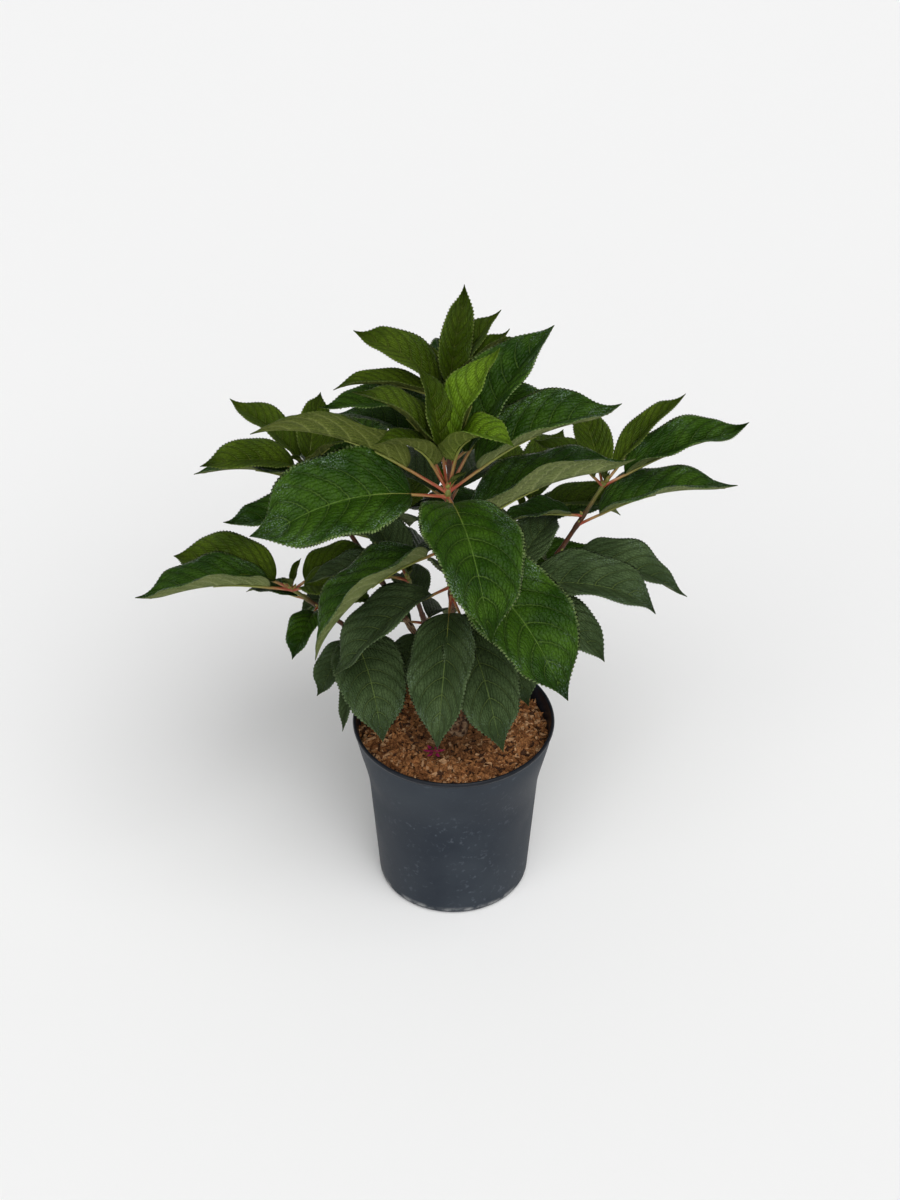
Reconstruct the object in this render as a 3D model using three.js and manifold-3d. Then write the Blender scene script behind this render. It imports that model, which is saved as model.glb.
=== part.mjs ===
// A young panicle hydrangea, not in bloom, in a one-gallon nursery pot.
// Millimetres, +Z up. The origin is on the pot's axis, at the flat underside of the pot.

import * as THREE from 'three';
import { mergeVertices } from 'three/addons/utils/BufferGeometryUtils.js';
import Module from 'manifold-3d';

const wasm = await Module();
wasm.setup();

// Driving dimensions of the pot
const POT_HEIGHT = 165;
const POT_FOOT_RADIUS = 63.5;
const POT_DRAFT = 0.073;
const POT_FLARE = 7.2;
const POT_FLARE_START = 100;
const POT_WALL = 2;
const POT_EDGE_ROUND = 5;
const LIP_HEIGHT = 4;
const LIP_PROUD = 1;
const DRAIN_HOLES = 6;
const DRAIN_RADIUS = 5;
const DRAIN_CIRCLE = 46;
const DRAIN_SIDES = 12;
const TURNING_STEPS = 40;

// Driving dimensions of the plant
const GAP = 0.3;
const SOIL_LEVEL = 150;
const SOIL_FALL = 2;
const SOIL_EDGE = 1;
const TRUNK_FOOT = SOIL_LEVEL + GAP;
const TRUNK_TOP = 216;
const TRUNK_FLARE_RADIUS = 13;
const SOIL_FLAT_RADIUS = 2.5 * TRUNK_FLARE_RADIUS;
const TRUNK_FOOT_RADIUS = 9;
const TRUNK_TOP_RADIUS = 6.5;
const TRUNK_BOW = 8;
const TRUNK_MARGIN = 0.4;
const TRUNK_SIDES = 12;
const TRUNK_STEPS = 6;
const BOUGH_RADIUS = 3.1;
const BOUGH_SIDES = 8;
const BOUGH_STEPS = 8;
const STEM_RADIUS = 2.2;
const TWIG_RADIUS = 1.5;
const TWIG_SIDES = 6;
const TWIG_STEPS = 6;
const LEAF_THICKNESS = 1.5;
const PETIOLE_RADIUS = 1.3;
const PETIOLE_SHARE = 0.18;
const BUD = 0.985;
const TURN_DRIFT = 5;
const RISE_DRIFT = 5;
const ROLL_DRIFT = 24;
const LENGTH_DRIFT = 0.08;
const SEED = 104729;
const BLADE_STEPS = 8;
const BEND_POWER = 1.15;
const LEAF_WIDTH = 0.56;
const LEAF_FOLD = 30;

// The blade's outline: how full it is at its shoulder and its taper, where along it is widest, and where
// and by how much it narrows into its drawn-out tip.
const SHOULDER = 0.55;
const TAPER = 0.8;
const WIDEST = SHOULDER / (SHOULDER + TAPER);
const DRIP_START = 0.74;
const DRIP_TIP = 0.62;

// The growth plan. A shoot's tip is given by its turn about the pot's axis, its reach and its height.
// spring is the height at which it leaves the trunk, bow lifts the middle of its curve, and leafy is the
// share of the curve below its first leaves. A whorl sits at a share of the curve and names the turn of
// each leaf. rise is how steeply a leaf starts, arch how far it bends down, and fold how far its halves stand
// up from flat. width is its breadth and stalk its petiole, both as shares of the blade's length, and roll
// tips it on its midrib.
const SHOOTS = [
  {
    name: 'front', turn: 264, reach: 45, height: 426, spring: 205, bow: 4, leafy: 0.4,
    whorls: [
      { at: 0.46, length: 110, rise: -14, arch: 46, fold: 18, width: 0.5, turns: [264, 294] },
      { at: 0.50, length: 100, rise: 0, arch: 60, fold: 26, turns: [218] },
      { at: 0.68, length: 128, rise: -4, arch: 54, fold: 16, width: 0.6, turns: [312] },
      { at: 0.70, length: 122, rise: 6, arch: 66, fold: 32, roll: 26, turns: [216] },
      { at: 0.72, length: 130, rise: 38, arch: 46, fold: 38, roll: -18, turns: [12] },
      { at: 0.96, length: 140, rise: 14, arch: 66, fold: 15, stalk: 0.12, turns: [284] },
      { at: 0.96, length: 122, rise: 14, arch: 60, fold: 20, width: 0.62, roll: -18, stalk: 0.24, turns: [200] },
      { at: 0.98, length: 122, rise: 36, arch: 46, fold: 36, width: 0.6, roll: -12, stalk: 0.25, turns: [10] },
      { at: 0.98, length: 124, rise: 36, arch: 46, fold: 30, roll: 36, stalk: 0.3, turns: [175] },
      { at: 0.99, length: 114, rise: 50, arch: 26, fold: 34, width: 0.58, stalk: 0.3, turns: [46] },
      { at: 0.99, length: 78, rise: 70, arch: 76, roll: 14, stalk: 0.46, turns: [164] },
      { at: 1.00, length: 84, rise: 70, arch: 40, fold: 42, width: 0.6, roll: -14, stalk: 0.42, turns: [46] },
      { at: 1.00, length: 66, rise: 78, arch: 108, fold: 36, width: 0.66, stalk: 0.46, turns: [326] },
      { at: 1.00, length: 70, rise: 76, arch: 34, width: 0.54, stalk: 0.42, turns: [122] },
      { at: 1.00, length: 58, rise: 68, arch: 76, fold: 40, roll: 16, stalk: 0.5, turns: [206] },
    ],
  },
  {
    name: 'back', turn: 96, reach: 45, height: 450, spring: 180, bow: 6, leafy: 0.36,
    whorls: [
      { at: 0.66, length: 104, rise: 0, arch: 58, turns: [72, 128] },
      { at: 0.78, length: 88, rise: 26, arch: 50, turns: [36, 150] },
      { at: 0.82, length: 108, rise: 12, arch: 58, turns: [98] },
      { at: 0.92, length: 84, rise: 26, arch: 46, width: 0.48, turns: [180, 90, 346] },
      { at: 1.00, length: 80, rise: 26, arch: 40, fold: 46, width: 0.34, turns: [186] },
      { at: 1.00, length: 78, rise: 56, arch: 58, width: 0.46, turns: [168] },
      { at: 1.00, length: 60, rise: 44, arch: 40, width: 0.44, turns: [130] },
      { at: 1.00, length: 76, rise: 76, arch: 24, fold: 42, width: 0.42, roll: 14, turns: [64] },
      { at: 1.00, length: 70, rise: 64, arch: 46, width: 0.42, turns: [40] },
      { at: 1.00, length: 64, rise: 62, arch: 34, fold: 46, width: 0.4, turns: [4] },
      { at: 1.00, length: 68, rise: 44, arch: 40, width: 0.42, turns: [22] },
      { at: 1.00, length: 34, rise: 64, arch: 70, turns: [262] },
      { at: 0.40, length: 78, rise: -16, arch: 44, width: 0.5, turns: [96, 34] },
      { at: 0.52, length: 84, rise: -4, arch: 52, width: 0.5, turns: [112, 18] },
    ],
  },
  {
    name: 'left_back', turn: 146, reach: 143, height: 358, spring: 188, bow: 8, leafy: 0.46,
    whorls: [
      { at: 0.74, length: 84, rise: 26, arch: 46, width: 0.5, turns: [112, 192] },
      { at: 0.92, length: 88, rise: 20, arch: 42, width: 0.46, turns: [176, 60] },
      { at: 1.00, length: 80, rise: 38, arch: 48, width: 0.44, turns: [142, 204] },
      { at: 1.00, length: 60, rise: 60, arch: 50, width: 0.5, turns: [80, 330] },
      { at: 0.50, length: 66, rise: 0, arch: 50, width: 0.5, turns: [200, 96] },
    ],
  },
  {
    name: 'left', turn: 176, reach: 130, height: 292, spring: 174, bow: 6, leafy: 0.5,
    whorls: [
      { at: 0.54, length: 66, rise: -40, arch: 30, fold: 40, width: 0.3, turns: [246] },
      { at: 0.60, length: 50, rise: -24, arch: 44, turns: [226] },
      { at: 0.64, length: 102, rise: 6, arch: 64, fold: 20, width: 0.6, turns: [288] },
      { at: 0.84, length: 48, rise: 4, arch: 50, turns: [252] },
      { at: 0.90, length: 52, rise: -4, arch: 30, width: 0.4, turns: [152] },
      { at: 1.00, length: 106, rise: 18, arch: 44, fold: 38, roll: 10, turns: [190] },
      { at: 1.00, length: 92, rise: 14, arch: 40, turns: [158] },
      { at: 1.00, length: 66, rise: 30, arch: 54, turns: [326, 22] },
    ],
  },
  {
    name: 'right', turn: 26, reach: 134, height: 360, spring: 186, bow: -10, leafy: 0.55,
    whorls: [
      { at: 0.70, length: 92, rise: 0, arch: 46, width: 0.5, turns: [352] },
      { at: 0.82, length: 112, rise: 27, arch: 46, fold: 26, turns: [2] },
      { at: 0.86, length: 60, rise: 18, arch: 42, turns: [196] },
      { at: 1.00, length: 110, rise: 18, arch: 28, fold: 46, width: 0.44, roll: -10, turns: [20] },
      { at: 1.00, length: 86, rise: 38, arch: 26, fold: 50, width: 0.36, turns: [44] },
      { at: 1.00, length: 58, rise: 50, arch: 50, turns: [170, 110] },
    ],
  },
  {
    name: 'right_front', turn: 350, reach: 42, height: 302, spring: 196, bow: 4, leafy: 0.6,
    whorls: [
      { at: 0.68, length: 64, rise: -24, arch: 50, turns: [300] },
      { at: 0.84, length: 86, rise: 10, arch: 56, turns: [334] },
      { at: 1.00, length: 108, rise: 24, arch: 56, fold: 26, width: 0.52, turns: [346] },
      { at: 1.00, length: 70, rise: 40, arch: 50, turns: [60] },
    ],
  },
  {
    name: 'inner_left', turn: 200, reach: 38, height: 318, spring: 188, bow: 0, leafy: 0.5,
    whorls: [
      { at: 0.62, length: 62, rise: -24, arch: 50, turns: [238] },
      { at: 0.70, length: 66, rise: 12, arch: 60, turns: [108] },
      { at: 1.00, length: 70, rise: 24, arch: 56, turns: [186, 120] },
    ],
  },
  {
    name: 'right_back', turn: 62, reach: 128, height: 290, spring: 176, bow: 8, leafy: 0.42,
    whorls: [
      { at: 0.72, length: 92, rise: 5, arch: 55, width: 0.5, turns: [0, 104] },
      { at: 0.88, length: 92, rise: 12, arch: 50, width: 0.5, turns: [30, 150] },
      { at: 1.00, length: 84, rise: 28, arch: 45, width: 0.5, turns: [70, 110, 350] },
      { at: 0.46, length: 72, rise: -12, arch: 46, width: 0.5, turns: [20, 100] },
    ],
  },
  {
    name: 'left_far', turn: 114, reach: 128, height: 276, spring: 168, bow: 8, leafy: 0.42,
    whorls: [
      { at: 0.72, length: 88, rise: 0, arch: 55, width: 0.5, turns: [82, 190] },
      { at: 0.88, length: 92, rise: 8, arch: 50, width: 0.5, turns: [114, 160] },
      { at: 1.00, length: 80, rise: 22, arch: 45, width: 0.5, turns: [134, 98, 62] },
      { at: 0.46, length: 70, rise: -14, arch: 46, width: 0.5, turns: [152, 72] },
    ],
  },
];

// Materials
function material(color, roughness) {
  return new THREE.MeshStandardMaterial({ color, roughness, metalness: 0 });
}
const POT_PLASTIC = material(0x343a44, 0.6);
const GROWING_MEDIUM = material(0x6e4630, 0.95);
const BARK = material(0x8a5a38, 0.8);
const FOLIAGE = material(0x2c5524, 0.5);

// Small geometry helpers
const UP = new THREE.Vector3(0, 0, 1);
const radians = THREE.MathUtils.degToRad;

function direction(turn, rise) {
  const t = radians(turn);
  const r = radians(rise);
  return new THREE.Vector3(Math.cos(t) * Math.cos(r), Math.sin(t) * Math.cos(r), Math.sin(r));
}

// Rings with the same number of points, each anticlockwise seen from the far end, skinned into one closed
// solid. The last ring is closed flat, or drawn to a point when a tip is given.
function loft(rings, tip) {
  const sides = rings[0].length;
  const points = rings.flat();
  const faces = [];
  for (let ring = 0; ring < rings.length - 1; ring++) {
    for (let i = 0; i < sides; i++) {
      const a = ring * sides + i;
      const b = ring * sides + (i + 1) % sides;
      faces.push(a, b, b + sides, a, b + sides, a + sides);
    }
  }
  const last = (rings.length - 1) * sides;
  for (let i = 1; i < sides - 1; i++) {
    faces.push(0, i + 1, i);
    if (!tip) {
      faces.push(last, last + i, last + i + 1);
    }
  }
  if (tip) {
    points.push(tip);
    for (let i = 0; i < sides; i++) {
      faces.push(last + i, last + (i + 1) % sides, points.length - 1);
    }
  }
  const geometry = new THREE.BufferGeometry().setFromPoints(points);
  geometry.setIndex(faces);
  return geometry;
}

function circle(centre, along, radius, sides) {
  const side = new THREE.Vector3().crossVectors(UP, along);
  if (side.lengthSq() < 1e-6) {
    side.set(1, 0, 0);
  }
  side.normalize();
  const over = new THREE.Vector3().crossVectors(along, side).normalize();
  const ring = [];
  for (let i = 0; i < sides; i++) {
    const angle = 2 * Math.PI * i / sides;
    ring.push(centre.clone()
      .addScaledVector(side, radius * Math.cos(angle))
      .addScaledVector(over, radius * Math.sin(angle)));
  }
  return ring;
}

// A round limb along a curve from share a to share b, its radius going from start to end.
function limb(curve, a, b, start, end, sides, steps) {
  const rings = [];
  for (let i = 0; i <= steps; i++) {
    const share = i / steps;
    const t = a + (b - a) * share;
    rings.push(circle(curve.getPoint(t), curve.getTangent(t), start + (end - start) * share, sides));
  }
  return loft(rings);
}

function solid(geometry) {
  const bare = geometry.clone();
  bare.deleteAttribute('normal');
  bare.deleteAttribute('uv');
  const merged = mergeVertices(bare, 1e-4);
  return new wasm.Manifold(new wasm.Mesh({
    numProp: 3,
    vertProperties: new Float32Array(merged.attributes.position.array),
    triVerts: new Uint32Array(merged.index.array),
  }));
}

function geometryOf(body) {
  const mesh = body.getMesh();
  const geometry = new THREE.BufferGeometry();
  geometry.setAttribute('position', new THREE.BufferAttribute(mesh.vertProperties, 3));
  geometry.setIndex(new THREE.BufferAttribute(mesh.triVerts, 1));
  return geometry;
}

const plant = new THREE.Group();

function place(name, body, finish) {
  const mesh = new THREE.Mesh(geometryOf(body), finish);
  mesh.name = name;
  plant.add(mesh);
}

// A profile of radius and height turned about the pot's axis, which is +Z here.
function turned(profile) {
  const points = profile.map(([radius, height]) => new THREE.Vector2(radius, height));
  return new THREE.LatheGeometry(points, TURNING_STEPS).rotateX(Math.PI / 2);
}

// The pot: a thin wall with a slight draft that flares in a soft S under a small rolled lip.
function potRadius(height) {
  const flare = THREE.MathUtils.smoothstep(height, POT_FLARE_START, POT_HEIGHT);
  return POT_FOOT_RADIUS + POT_DRAFT * height + POT_FLARE * flare - POT_DRAFT * POT_EDGE_ROUND;
}

function potHeights() {
  const low = [POT_EDGE_ROUND, POT_FLARE_START];
  const flare = [0.25, 0.5, 0.75].map((share) => POT_FLARE_START + share * (POT_HEIGHT - POT_FLARE_START));
  return [...low, ...flare, POT_HEIGHT - LIP_HEIGHT];
}

function makePot() {
  const outer = potHeights().map((height) => [potRadius(height), height]);
  const inner = outer.map(([radius, height]) => [radius - POT_WALL, height]).reverse();
  inner.pop();
  const edge = POT_EDGE_ROUND * (1 - Math.SQRT1_2);
  const rim = potRadius(POT_HEIGHT);
  const profile = [
    [0, 0],
    [POT_FOOT_RADIUS - POT_EDGE_ROUND, 0],
    [POT_FOOT_RADIUS - edge, edge],
    ...outer,
    [rim + LIP_PROUD, POT_HEIGHT - LIP_HEIGHT],
    [rim + LIP_PROUD, POT_HEIGHT - LIP_PROUD],
    [rim, POT_HEIGHT],
    [rim - POT_WALL, POT_HEIGHT],
    ...inner,
    [potRadius(POT_EDGE_ROUND) - POT_WALL, POT_WALL],
    [0, POT_WALL],
  ];
  let shell = solid(turned(profile));
  for (let i = 0; i < DRAIN_HOLES; i++) {
    const angle = 2 * Math.PI * i / DRAIN_HOLES;
    const bit = new THREE.CylinderGeometry(DRAIN_RADIUS, DRAIN_RADIUS, 4 * POT_WALL, DRAIN_SIDES);
    bit.rotateX(Math.PI / 2);
    bit.translate(DRAIN_CIRCLE * Math.cos(angle), DRAIN_CIRCLE * Math.sin(angle), 0);
    shell = shell.subtract(solid(bit));
  }
  return shell;
}

// The growing medium fills the pot to a little under the rim and is flat where the trunk stands.
function makeSoil() {
  const inside = POT_WALL + GAP;
  const wall = potHeights()
    .filter((height) => height < SOIL_LEVEL)
    .map((height) => [potRadius(height) - inside, height]);
  const edgeLevel = SOIL_LEVEL - SOIL_FALL;
  const profile = [
    [0, inside],
    [potRadius(POT_EDGE_ROUND) - inside, inside],
    ...wall,
    [potRadius(edgeLevel) - inside - SOIL_EDGE, edgeLevel],
    [SOIL_FLAT_RADIUS, SOIL_LEVEL],
    [0, SOIL_LEVEL],
  ];
  return solid(turned(profile));
}

// The trunk: a short woody foot, flared at the ground and bowed a little as it rises to its fork. margin
// grows it on every side.
function trunkRings(margin) {
  const rings = [];
  for (let i = 0; i <= TRUNK_STEPS; i++) {
    const share = i / TRUNK_STEPS;
    const taper = TRUNK_FOOT_RADIUS + (TRUNK_TOP_RADIUS - TRUNK_FOOT_RADIUS) * share;
    const flare = (TRUNK_FLARE_RADIUS - TRUNK_FOOT_RADIUS) * (1 - share) ** 4;
    const height = TRUNK_FOOT + (TRUNK_TOP - TRUNK_FOOT) * share;
    const centre = new THREE.Vector3(TRUNK_BOW * share * (1 - share), 0, height);
    rings.push(circle(centre, UP, taper + flare + margin, TRUNK_SIDES));
  }
  return rings;
}

// The trunk's space, grown by its margin and closed above its top, for cutting the boughs back.
function trunkSpace() {
  const rings = trunkRings(TRUNK_MARGIN);
  const top = rings.at(-1).map((point) => point.clone().setZ(TRUNK_TOP + TRUNK_MARGIN));
  return solid(loft([...rings, top]));
}

function shootCurve(shoot) {
  const start = new THREE.Vector3(0, 0, shoot.spring);
  const tip = direction(shoot.turn, 0).multiplyScalar(shoot.reach).setZ(shoot.height);
  const middle = start.clone().lerp(tip, 0.5).addScaledVector(UP, shoot.bow);
  return new THREE.QuadraticBezierCurve3(start, middle, tip);
}

// Half the blade's width at a share of its length: a full oval drawn out to a long point.
function bladeHalfWidth(share) {
  const oval = share ** SHOULDER * (1 - share) ** TAPER / (WIDEST ** SHOULDER * (1 - WIDEST) ** TAPER);
  return oval * (1 - DRIP_TIP * THREE.MathUtils.smoothstep(share, DRIP_START, 1));
}

// One leaf: a straight petiole, then a blade folded along its midrib that bends down towards its tip.
function leaf(root, turn, rise, whorl, length, roll) {
  const width = length * (whorl.width ?? LEAF_WIDTH) / 2;
  const fold = radians(whorl.fold ?? LEAF_FOLD);
  const ringAt = (centre, pitch, halfWidth, halfDepth) => {
    const along = direction(turn, pitch);
    const left = direction(turn + 90, 0).applyAxisAngle(along, radians(roll));
    const over = new THREE.Vector3().crossVectors(along, left);
    const spread = halfWidth * Math.cos(fold);
    const lift = halfWidth * Math.sin(fold);
    return [
      centre.clone().addScaledVector(left, spread).addScaledVector(over, lift),
      centre.clone().addScaledVector(over, halfDepth),
      centre.clone().addScaledVector(left, -spread).addScaledVector(over, lift),
      centre.clone().addScaledVector(over, -halfDepth),
    ];
  };
  const spine = root.clone();
  const rings = [ringAt(spine, rise, PETIOLE_RADIUS, PETIOLE_RADIUS)];
  spine.addScaledVector(direction(turn, rise), (whorl.stalk ?? PETIOLE_SHARE) * length);
  rings.push(ringAt(spine, rise, PETIOLE_RADIUS, PETIOLE_RADIUS));
  let passed = 0;
  for (let i = 1; i <= BLADE_STEPS; i++) {
    const share = (1 - Math.cos(Math.PI * i / BLADE_STEPS)) / 2;
    const bend = whorl.arch * ((passed + share) / 2) ** BEND_POWER;
    spine.addScaledVector(direction(turn, rise - bend), (share - passed) * length);
    passed = share;
    if (i < BLADE_STEPS) {
      const pitch = rise - whorl.arch * share ** BEND_POWER;
      rings.push(ringAt(spine, pitch, width * bladeHalfWidth(share), LEAF_THICKNESS / 2));
    }
  }
  return solid(loft(rings, spine.clone()));
}

// A chain of draws between -0.5 and 0.5 that is the same each time it starts from a seed: the state times
// the multiplier, modulo the modulus, is the next state.
const MULTIPLIER = 16807;
const MODULUS = 2147483647;
function seeded(seed) {
  let state = seed;
  return () => {
    state = state * MULTIPLIER % MODULUS;
    return state / MODULUS - 0.5;
  };
}

// A bough: the bare lower part of a shoot, cut back to the trunk and ending the gap below its leafy part.
function makeBough(shoot, curve, trunk) {
  const end = shoot.leafy - GAP / curve.getLength();
  const bough = limb(curve, 0, end, BOUGH_RADIUS, STEM_RADIUS, BOUGH_SIDES, BOUGH_STEPS);
  return solid(bough).subtract(trunk);
}

// One mass: the leafy end of a shoot with its leaves fused on. A leaf that would touch a limb or another
// mass is left out.
function makeMass(shoot, curve, seed, neighbours) {
  const draw = seeded(seed);
  let mass = solid(limb(curve, shoot.leafy, 1, STEM_RADIUS, TWIG_RADIUS, TWIG_SIDES, TWIG_STEPS));
  for (const whorl of shoot.whorls) {
    const root = curve.getPoint(Math.min(whorl.at, BUD));
    for (const turn of whorl.turns) {
      const leafTurn = turn + TURN_DRIFT * draw();
      const rise = whorl.rise + RISE_DRIFT * draw();
      const length = whorl.length * (1 + LENGTH_DRIFT * draw());
      const roll = (whorl.roll ?? 0) + ROLL_DRIFT * draw();
      const blade = leaf(root, leafTurn, rise, whorl, length, roll);
      if (neighbours.every((other) => blade.minGap(other, GAP) >= GAP)) {
        mass = mass.add(blade);
      }
    }
  }
  return mass;
}

const pot = makePot();
const soil = makeSoil();
const trunk = solid(loft(trunkRings(0)));
const curves = SHOOTS.map(shootCurve);
const boughs = SHOOTS.map((shoot, i) => makeBough(shoot, curves[i], trunkSpace()));
const masses = [];
SHOOTS.forEach((shoot, i) => {
  const neighbours = [pot, soil, trunk, ...boughs.filter((bough, k) => k !== i), ...masses];
  masses.push(makeMass(shoot, curves[i], SEED * (i + 1), neighbours));
});

place('pot', pot, POT_PLASTIC);
place('soil', soil, GROWING_MEDIUM);
place('trunk', trunk, BARK);
SHOOTS.forEach((shoot, i) => {
  place(`bough_${shoot.name}`, boughs[i], BARK);
  place(`foliage_${shoot.name}`, masses[i], FOLIAGE);
});

export default plant;
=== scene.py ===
# A young panicle hydrangea, not in bloom, standing in a one-gallon nursery pot.
# The origin is on the pot's axis, on the floor that it stands on, with +Z up. Sizes in this file are in
# millimetres, as in the source, and turn into metres where a mesh is made. Materials work in metres.

import bpy
import numpy as np
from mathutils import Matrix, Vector


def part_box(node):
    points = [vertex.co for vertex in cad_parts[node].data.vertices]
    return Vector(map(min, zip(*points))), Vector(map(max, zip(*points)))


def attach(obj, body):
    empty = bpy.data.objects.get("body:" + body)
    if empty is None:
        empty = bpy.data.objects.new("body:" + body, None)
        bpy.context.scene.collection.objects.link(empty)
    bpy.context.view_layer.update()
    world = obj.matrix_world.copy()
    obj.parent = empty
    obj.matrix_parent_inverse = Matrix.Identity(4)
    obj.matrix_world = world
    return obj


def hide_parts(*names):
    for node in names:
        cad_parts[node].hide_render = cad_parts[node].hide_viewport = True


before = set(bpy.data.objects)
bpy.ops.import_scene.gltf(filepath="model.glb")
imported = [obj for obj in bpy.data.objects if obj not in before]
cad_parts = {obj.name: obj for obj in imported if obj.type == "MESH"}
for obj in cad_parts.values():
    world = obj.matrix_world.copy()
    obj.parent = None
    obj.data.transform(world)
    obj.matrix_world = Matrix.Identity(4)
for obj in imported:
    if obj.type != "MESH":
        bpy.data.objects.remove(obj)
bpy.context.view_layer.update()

MM = 0.001


# ---- The studio ----
# A seamless pale floor under a soft dome, with a broad key light from the right and a softer one from in
# front. The camera stands before the plant and looks down on it, against an even pale backdrop.

CAMERA_AIM = Vector((-0.003, 0.0, 0.287))
CAMERA_DISTANCE = 1.9
CAMERA_ELEVATION = np.radians(37.5)
CAMERA_LENS = 71.7
KEY_FROM = Vector((0.3, -0.48, 0.8))
KEY_STRENGTH = 1.7
KEY_SPREAD = np.radians(50)
FILL_FROM = Vector((-0.2, -0.85, 0.5))
FILL_STRENGTH = 1.6
FILL_SPREAD = np.radians(80)
DOME_LOW = 0.26
DOME_HIGH = 0.34
BACKDROP = 0.92
FLOOR_WHITE = 0.9
FLOOR_HALF = 9000


def add_object(name, data):
    """A new object in the scene, for that mesh, lamp or camera."""
    new_object = bpy.data.objects.new(name, data)
    bpy.context.scene.collection.objects.link(new_object)
    return new_object


def new_mesh(name, points, faces):
    """A mesh from rows of points in millimetres."""
    mesh = bpy.data.meshes.new(name)
    mesh.from_pydata(np.asarray(points).reshape(-1, 3) * MM, [], faces)
    return mesh


def feed(tree, socket, value):
    """Links a socket to the input, or types a number, vector or colour into it."""
    if isinstance(value, bpy.types.NodeSocket):
        tree.links.new(value, socket)
    else:
        socket.default_value = value


def add_node(tree, kind, **inputs):
    """A shader node of that kind, with its inputs fed by name."""
    node = tree.nodes.new("ShaderNode" + kind)
    for name, value in inputs.items():
        feed(tree, node.inputs[name.replace("_", " ")], value)
    return node


def reckon(tree, operation, *values):
    """One step of arithmetic on numbers and sockets."""
    node = tree.nodes.new("ShaderNodeMath")
    node.operation = operation
    for socket, value in zip(node.inputs, values):
        feed(tree, socket, value)
    return node.outputs[0]


def times(tree, first, second):
    """The product of two numbers or sockets."""
    return reckon(tree, "MULTIPLY", first, second)


def split(tree, vector):
    """The three numbers of a vector."""
    return add_node(tree, "SeparateXYZ", Vector=vector).outputs[:]


def band(tree, value, low, high, start=0.0, end=1.0):
    """start where the value is below low, end where it is above high, and a smooth step between."""
    node = add_node(tree, "MapRange", Value=value, From_Min=low, From_Max=high, To_Min=start, To_Max=end)
    node.interpolation_type = "SMOOTHSTEP"
    return node.outputs["Result"]


def paint(red, green, blue):
    """A colour on the 0 to 255 scale as the shader's linear colour: each share to the power 2.2."""
    return (*(np.array([red, green, blue]) / 255) ** 2.2, 1.0)


def principled(name, roughness, specular):
    """A new material with its shader's plain roughness and specular level: (material, tree, shader)."""
    material = bpy.data.materials.new(name)
    material.use_nodes = True
    tree = material.node_tree
    shader = tree.nodes["Principled BSDF"]
    shader.inputs["Roughness"].default_value = roughness
    shader.inputs["Specular IOR Level"].default_value = specular
    return material, tree, shader


def add_sun(name, from_direction, strength, spread):
    """A sun lamp that shines from that direction, softened by its spread."""
    lamp = bpy.data.lights.new(name, "SUN")
    lamp.energy = strength
    lamp.angle = spread
    add_object(name, lamp).rotation_euler = (-from_direction).to_track_quat("-Z", "Y").to_euler()


camera_data = bpy.data.cameras.new("camera")
camera_data.lens = CAMERA_LENS
camera_data.sensor_width = 36
camera = add_object("camera", camera_data)
camera_back = Vector((0, -np.cos(CAMERA_ELEVATION), np.sin(CAMERA_ELEVATION)))
camera.location = CAMERA_AIM + CAMERA_DISTANCE * camera_back
camera.rotation_euler = (-camera_back).to_track_quat("-Z", "Y").to_euler()
bpy.context.scene.camera = camera
bpy.context.scene.view_settings.view_transform = "Standard"

add_sun("key_light", KEY_FROM, KEY_STRENGTH, KEY_SPREAD)
add_sun("fill_light", FILL_FROM, FILL_STRENGTH, FILL_SPREAD)

dome = bpy.data.worlds.new("dome")
dome.use_nodes = True
bpy.context.scene.world = dome
sky = dome.node_tree
sky_light = sky.nodes["Background"]
sky_light.inputs["Color"].default_value = (1, 1, 1, 1)
sky_height = split(sky, add_node(sky, "TexCoord").outputs["Generated"])[2]
sky_strength = band(sky, sky_height, 0.0, 1.0, DOME_LOW, DOME_HIGH)
seen = add_node(sky, "LightPath").outputs["Is Camera Ray"]
shown = times(sky, seen, reckon(sky, "SUBTRACT", BACKDROP, sky_strength))
feed(sky, sky_light.inputs["Strength"], reckon(sky, "ADD", sky_strength, shown))

floor_corners = np.array([[-1, -1, 0], [1, -1, 0], [1, 1, 0], [-1, 1, 0]]) * FLOOR_HALF
floor_mesh = new_mesh("floor", floor_corners, [(0, 1, 2, 3)])
floor_finish, _, floor_shader = principled("floor_paper", 1.0, 0.0)
floor_shader.inputs["Base Color"].default_value = (FLOOR_WHITE, FLOOR_WHITE, FLOOR_WHITE, 1)
floor_mesh.materials.append(floor_finish)
floor = add_object("floor", floor_mesh)


# ---- The nursery pot ----
# A thin-walled pot of recycled dark plastic, moulded in one piece: a slight draft, a soft S flare near
# the top, a small rolled lip and six drain holes. It is matt, scuffed, and dusty along its foot.

POT_OUTER_RADIUS, _, POT_HEIGHT = np.array(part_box("pot")[1]) / MM
POT_FOOT_RADIUS = 63.5
POT_DRAFT = 0.073
POT_FLARE = 7.2
POT_FLARE_START = 100
POT_WALL = 2
POT_EDGE_ROUND = 5
LIP_HEIGHT = 4
DRAIN_HOLES = 6
DRAIN_RADIUS = 5
DRAIN_CIRCLE = 46
DRAIN_STEPS = 24
POT_STEPS = 192
FOOT_RINGS = 9
WALL_RINGS = 44
LIP_RINGS = 18
INNER_RINGS = 30
LIP_RUN_DOWN = 6
POT_SLATE = paint(33, 40, 49)
POT_WORN = paint(49, 55, 62)
POT_SCUFF = paint(80, 86, 95)
POT_DUST = paint(160, 161, 160)
POT_LIP = paint(24, 27, 33)
DUST_START = (0.003, 0.0042)
DUST_END = (0.0046, 0.009)
DUST_SHARE = 0.6


def smooth(value, low, high):
    """0 below low, 1 above high, and between them three times the share squared less twice its cube."""
    share = np.clip((value - low) / (high - low), 0, 1)
    return share * share * (3 - 2 * share)


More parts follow.
